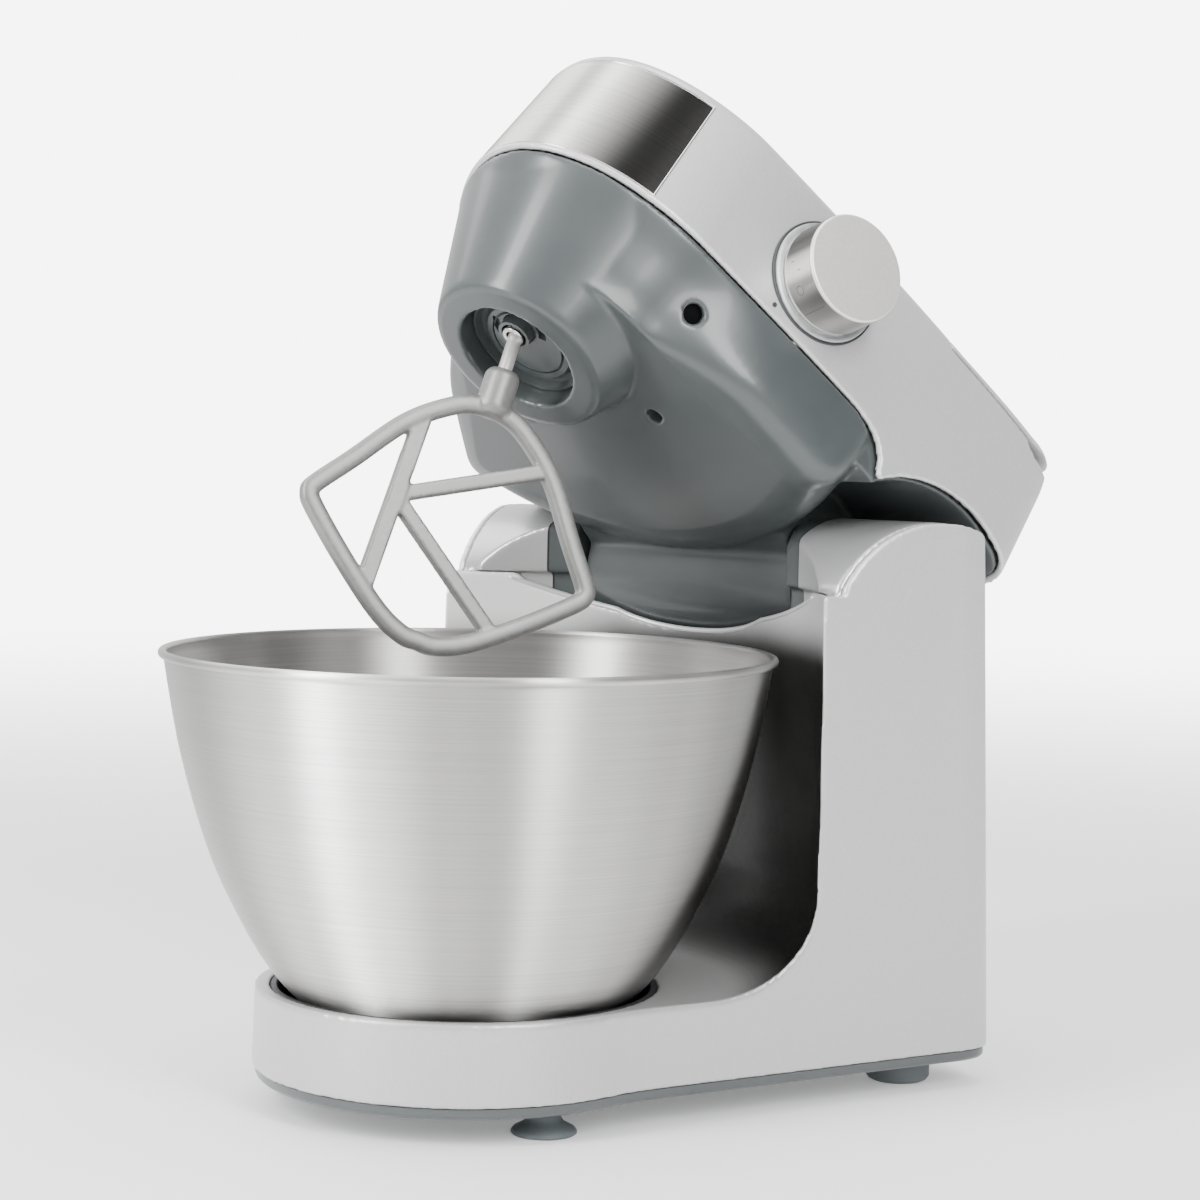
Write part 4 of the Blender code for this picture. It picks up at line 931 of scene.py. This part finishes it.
def build_screw_wells():
    for k, (deep, mouth, r) in enumerate(screw_lines()):
        a, b = Vector(deep), Vector(mouth)
        well = rod(f"screw_well_{k + 1}", a, b, r + 0.9, 40)
        cut(well, rod("c", a + (b - a) * 0.3, b + (b - a), r - 0.1, 40))
        keep(well, loft("c", belly_rings(1.0, 1.0, 61)))
        place(well, HEAD, "head", MATS["grey"], (), 40)
        floor = rod(f"screw_well_floor_{k + 1}", a + (b - a) * 0.3, a + (b - a) * 0.33, r - 0.2, 40)
        place(floor, HEAD, "head", MATS["shade"], (), 40)


def build_outlet_disc():
    q = NOSE_Z
    face = [(0, q + 9.2), (15.3, q + 9.2), (15.5, q + 10.4), (16.1, q + 10.4), (16.3, q + 9.4),
            (18.6, q + 9.4), (20.2, q + 11.4), (22.4, q + 11.4), (23.2, q + 8.2), (24.4, q + 8.2),
            (24.5, q + 12), (0, q + 12)]
    disc = lathe("outlet_disc", face, 128)
    add(disc, lathe("c", [(0, q + 11), (4.6, q + 11), (4.6, q + 23), (0, q + 23)], 40, at=(0, 11.6)))
    flange = [(0, q + 22.4), (17, q + 22.4), (17, q + 25.4), (6, q + 25.4), (6, q + 66), (0, q + 66)]
    add(disc, lathe("c", flange, 64))
    hole = [(0, q), (7.4, q), (7.4, q + 20), (0, q + 20)]
    cut(disc, lathe("c", hole, 48, at=(0, -PLANET_OFFSET)))
    for turn in (0, 180):
        slot = sector(8.9, 12.2, turn - 34, turn + 34, 16, -PLANET_OFFSET)
        cut(disc, prism("c", slot, q + 5, q + 11.2))
    bevelled(disc, 0.22, 2, 40)
    place(disc, HEAD, "hub", MATS["grey"], ["planet_carrier"], 40)
    for turn in (0, 180):
        slot = sector(9.0, 12.1, turn - 33, turn + 33, 16, -PLANET_OFFSET)
        pad = prism("outlet_slot_left" if turn else "outlet_slot_right", slot, q + 11.0, q + 11.3)
        place(pad, HEAD, "hub", MATS["dark"], (), 40)
    # painted shade: a dark ring laid in the bottom of the groove on the outlet disc
    groove = [(15.45, q + 10.2), (16.15, q + 10.2), (16.15, q + 10.5), (15.45, q + 10.5)]
    line = lathe("outlet_groove_painted_shade", groove, 96)
    place(line, HEAD, "hub", MATS["dark"], (), 40)
    rim = [(2.9, q + 4.0), (4.3, q + 4.0), (4.6, q + 4.3), (4.6, q + 5.0), (2.9, q + 5.0)]
    collar = lathe("spindle_collar", rim, 40, at=(0, -PLANET_OFFSET))
    place(collar, HEAD, "planet", MATS["steel"], (), 40)


# ---- beater ----
def beater_point(u, v, n):
    """Point of the beater's plane: u sideways, v below the pin, n out of the plane."""
    c, s = math.cos(math.radians(BEATER_TURN)), math.sin(math.radians(BEATER_TURN))
    return (u * c - n * s, u * s + n * c - PLANET_OFFSET, PIVOT_Z - v)


def beater_loop(width, thick):
    """Closed bar of rounded section along the middle of the beater's frame."""
    corners = [(0, 134.5), (8, 134), (21, 128), (40, 113.5), (57, 98.5), (61.3, 92), (60, 85.5), (49, 70.5),
               (34, 49.5), (19, 36.5), (7, 31)]
    path = spline(inset(ccw(mirrored(corners)), width / 2), 6, closed=True)
    section = [(math.copysign(abs(math.cos(a)) ** 0.62, math.cos(a)) * width / 2,
                math.copysign(abs(math.sin(a)) ** 0.62, math.sin(a)) * thick / 2)
               for a in (math.radians(22.5 * k) for k in range(16))]
    verts, faces = [], []
    for i, (u, v) in enumerate(path):
        (au, av), (bu, bv) = path[i - 1], path[(i + 1) % len(path)]
        length = math.hypot(bu - au, bv - av)
        nu, nv = (bv - av) / length, -(bu - au) / length
        verts += [beater_point(u + nu * w, v + nv * w, n) for w, n in section]
    for i in range(len(path)):
        a, b = i * 16, (i + 1) % len(path) * 16
        faces += [[a + k, a + (k + 1) % 16, b + (k + 1) % 16, b + k] for k in range(16)]
    return make("beater_blade", verts, faces)


def beater_prism(name, pts, thick):
    return loft(name, [[beater_point(u, v, n) for u, v in ccw(pts)] for n in (-thick / 2, thick / 2)])


def beater_bar(start, end, width, thick):
    a, b = Vector((*start, 0)), Vector((*end, 0))
    side = (b - a).cross(Vector((0, 0, 1))).normalized() * width / 2
    return beater_prism("c", [(p.x, p.y) for p in (a + side, b + side, b - side, a - side)], thick)


def build_beater():
    at = (0, -PLANET_OFFSET)
    blade = beater_loop(7.4, 7.4)
    add(blade, beater_bar((-25, 45), (-27, 119), 6.6, 6.4))
    add(blade, beater_bar((-24, 79), (29, 49), 5.8, 6.0))
    add(blade, beater_bar((-24, 82), (25.5, 118), 5.8, 6.0))
    p = PIVOT_Z
    hub = [(0, p - 37), (5, p - 37), (7, p - 34), (7, p - 20), (5.8, p - 18), (0, p - 18)]
    add(blade, lathe("c", hub, 48, at=at))
    cut(blade, lathe("c", [(0, p - 32), (3.1, p - 32), (3.1, p), (0, p)], 32, at=at))
    melt(blade, 0.6, 7)
    place(blade, BEATER, "beater", MATS["beater"], ["beater_frame"])
    stem = [(0, p - 31.7), (2.8, p - 31.7), (2.8, p + 2), (2.2, p + 2.8), (1.4, p + 3), (0, p + 3)]
    shaft = lathe("beater_stem", stem, 40, at=at)
    place(shaft, BEATER, "beater", MATS["knob"], ["beater_shaft"], 40)


# ---- knob ----
def on_side(obj):
    nx, ny = knob_normal()
    turn = Vector((nx, ny, 0)).to_track_quat("Z", "Y").to_matrix().to_4x4()
    home = Vector((head_side(KNOB_Y), KNOB_Y, KNOB_Z)) - 0.8 * Vector((nx, ny, 0))
    spot = Matrix.Translation(home * MM)
    obj.data.transform(spot @ turn)
    return obj


def side_mark(name, angle, height, pts, depth=0.12):
    """Flat mark wrapped on the knob's side: pts are (round, up) in mm about (angle, height)."""
    inner, outer = [], []
    for u, v in ccw(pts):
        a = math.radians(angle) + u / KNOB_R
        for ring, r in ((inner, KNOB_R - 0.3), (outer, KNOB_R + depth)):
            ring.append((r * math.cos(a), r * math.sin(a), height + v))
    return loft(name, [inner, outer])


def ring_mark(name, angle, height, r, width):
    mark = side_mark(name, angle, height, circle(0, 0, r, 40))
    hole = side_mark("c", angle, height, circle(0, 0, r - width, 40), 1)
    return cut(mark, hole)


def build_knob():
    cap = [(0, 2.4), (KNOB_R - 0.8, 2.4), (KNOB_R - 0.5, 3.6), (KNOB_R, 4.0), (KNOB_R, 20.1)]
    cap += arc(KNOB_R - 1.1, 20.3, 1.1, 0, 90, 8) + [(0, 21.4)]
    body = lathe("control_knob", cap, 160)
    add(body, lathe("c", [(0, -15), (3.5, -15), (3.5, 3), (0, 3)], 32))
    place(on_side(body), HEAD, "knob", MATS["knob"], ["speed_knob"], 50)
    sleeve = [(KNOB_R - 1, 4.6), (KNOB_R + 0.08, 4.6), (KNOB_R + 0.08, 20.0), (KNOB_R - 1, 20.0)]
    side = lathe("knob_brushed_side", sleeve, 160)
    place(on_side(side), HEAD, "knob", MATS["knob_side"], (), 40)
    for mark in (ring_mark("mark_off", 243, 10.6, 2.0, 0.38),
                 side_mark("mark_fold_upper", 217, 13.0, [(-2.4, 0), (2.4, 0.9), (2.4, -0.9)]),
                 side_mark("mark_fold_lower", 217, 9.2, [(-2.4, 0.9), (-2.4, -0.9), (2.4, 0)]),
                 side_mark("mark_pointer", 268, 11.5, [(-0.16, -6), (0.16, -6), (0.16, 6), (-0.16, 6)])):
        place(on_side(mark), HEAD, "knob", MATS["ink"], (), 30)
    dot = lathe("off_marker_dot", [(0, -0.6), (1.0, -0.6), (1.0, 0.18), (0.8, 0.3), (0, 0.3)], 32)
    a = math.radians(245)
    dot.data.transform(Matrix.Translation((28.4 * MM * math.cos(a), 28.4 * MM * math.sin(a), 0.9 * MM)))
    place(on_side(dot), HEAD, "head", MATS["dark"], (), 30)
    rosette = [(18, 0.3), (24.5, 0.3), (24.5, 1.6), (24.1, 2.0), (22.2, 2.2), (18, 2.2)]
    ring = lathe("knob_rosette", rosette, 160)
    place(on_side(ring), HEAD, "head", MATS["alloy"], ["knob_bezel"], 40)
    gap = lathe("knob_shadow_line", [(24.6, 0.2), (25.5, 0.2), (25.5, 1.0), (25.2, 1.2), (24.6, 1.2)], 160)
    place(on_side(gap), HEAD, "head", MATS["dark"], (), 40)


build_shell()
build_tray()
build_arm_liner()
build_seat()
build_feet()
build_lever()
build_gland()
build_bowl()
build_cover()
build_lid()
build_band()
build_casing()
build_screw_wells()
build_outlet_disc()
build_beater()
build_knob()

for name, obj in frame["nodes"].items():
    if obj.hide_render:
        continue
    look = CAD_LOOKS.get(obj.data.materials[0].name if obj.data.materials else "", "alloy")
    slot = next((s["material_slot"] for s in frame["record"]["subparts"] if s["node"] == name), None)
    look = "grey" if name == "beater_socket" else CAD_LOOKS.get(slot, look)
    if not obj.data.materials:
        obj.data.materials.append(MATS[look])
    for k in range(len(obj.data.materials)):
        obj.material_slots[k].material = MATS[look]
    smooth(obj, 32)


# ---- studio ----
AMBIENT, BACKDROP = 0.6, 7.0
# azimuth from the front towards +X, height, sharpness and strength of each soft glow of the surroundings
GLOWS = ((224, 15, 6, 1.1), (-60, 20, 8, 0.45), (107, 20, 14, -0.9), (0, 90, 10, 1.0))


def area(name, spot, aim, size, power, size_y=None):
    data = bpy.data.lights.new(name, "AREA")
    data.energy, data.size = power, size
    if size_y:
        data.shape, data.size_y = "RECTANGLE", size_y
    lamp = bpy.data.objects.new(name, data)
    lamp.location = spot
    lamp.rotation_euler = (Vector(aim) - Vector(spot)).to_track_quat("-Z", "Y").to_euler()
    bpy.context.scene.collection.objects.link(lamp)


def lamp_at(name, azimuth, height, distance, size, size_y, power):
    a = math.radians(azimuth)
    spot = (distance * math.sin(a), -distance * math.cos(a), height)
    area(name, spot, (0, -0.03, 0.16), size, power, size_y)


def build_floor():
    floor = make("floor", [(x * 30, y * 30, 0) for x, y in circle(0, 0, 100, 96)], [list(range(96))])
    mat = principled("floor", (0.9, 0.9, 0.9), 0.6, Emission_Color=(1, 1, 1, 1), Emission_Strength=0.25)
    grain(mat, 8, rough=(0.55, 0.65))
    length = node(mat, "ShaderNodeVectorMath", operation="LENGTH")
    join(mat, node(mat, "ShaderNodeTexCoord").outputs["Object"], length.inputs["Vector"])
    mix = node(mat, "ShaderNodeMixShader")
    join(mat, eased(mat, length.outputs["Value"], 0.5, 2.6), mix.inputs["Fac"])
    join(mat, surface(mat).outputs["BSDF"], mix.inputs[1])
    join(mat, node(mat, "ShaderNodeBsdfTransparent").outputs["BSDF"], mix.inputs[2])
    join(mat, mix.outputs["Shader"], mat.node_tree.nodes["Material Output"].inputs["Surface"])
    floor.data.materials.append(mat)


def build_world():
    """Soft glows for the light and reflections, and a plain white backdrop behind."""
    world = bpy.data.worlds.new("studio")
    bpy.context.scene.world = world
    world.use_nodes = True
    nodes = world.node_tree.nodes
    around = nodes["Background"]
    around.inputs["Strength"].default_value = 1
    direction = node(world, "ShaderNodeTexCoord").outputs["Generated"]
    total = AMBIENT
    for azimuth, height, power, glow in GLOWS:
        a, h = math.radians(azimuth), math.radians(height)
        toward = (math.sin(a) * math.cos(h), -math.cos(a) * math.cos(h), math.sin(h))
        lobe = math_node(world, "MULTIPLY_ADD", dot_with(world, direction, toward), 0.5, 0.5)
        lobe.node.use_clamp = True
        total = math_node(world, "MULTIPLY_ADD", math_node(world, "POWER", lobe, power), glow, total)
    join(world, math_node(world, "MAXIMUM", total, 0.02), around.inputs["Color"])
    behind = node(world, "ShaderNodeBackground", Color=(1, 1, 1, 1), Strength=BACKDROP)
    mix = node(world, "ShaderNodeMixShader")
    join(world, node(world, "ShaderNodeLightPath").outputs["Is Camera Ray"], mix.inputs["Fac"])
    join(world, around.outputs["Background"], mix.inputs[1])
    join(world, behind.outputs["Background"], mix.inputs[2])
    join(world, mix.outputs["Shader"], nodes["World Output"].inputs["Surface"])


def build_studio():
    build_floor()
    build_world()
    lamp_at("key", -14, 0.95, 1.5, 0.34, 1.3, 38)
    lamp_at("side", 73, 1.15, 1.6, 0.45, 1.2, 35)
    lamp_at("fill", -95, 1.25, 1.2, 0.8, 0.8, 7)
    area("top", (0.1, -0.1, 1.7), (0, 0, 0.2), 1.0, 12)


def build_camera():
    az, distance = math.radians(44.0), 1.101
    yaw, pitch, roll = (math.radians(a) for a in (2.61, 3.54, 1.15))
    back = Vector((-math.sin(az), math.cos(az), 0))
    side = Vector((math.cos(az), math.sin(az), 0))
    ahead = back * math.cos(yaw) + side * math.sin(yaw)
    right = side * math.cos(yaw) - back * math.sin(yaw)
    ahead = ahead * math.cos(pitch) - Vector((0, 0, math.sin(pitch)))
    up = right.cross(ahead)
    right, up = (right * math.cos(roll) + up * math.sin(roll), up * math.cos(roll) - right * math.sin(roll))
    data = bpy.data.cameras.new("camera")
    data.sensor_width, data.lens, data.clip_start = 36, 85.2, 0.02
    camera = bpy.data.objects.new("camera", data)
    matrix = Matrix((right, up, -ahead)).transposed().to_4x4()
    bowl_rim = Vector((0, BOWL_Y * MM, (RIM_Z - TABLE_Z) * MM))
    matrix.translation = bowl_rim - back * distance + Vector((0, 0, 0.0885))
    camera.matrix_world = matrix
    bpy.context.scene.collection.objects.link(camera)
    bpy.context.scene.camera = camera


build_studio()
build_camera()
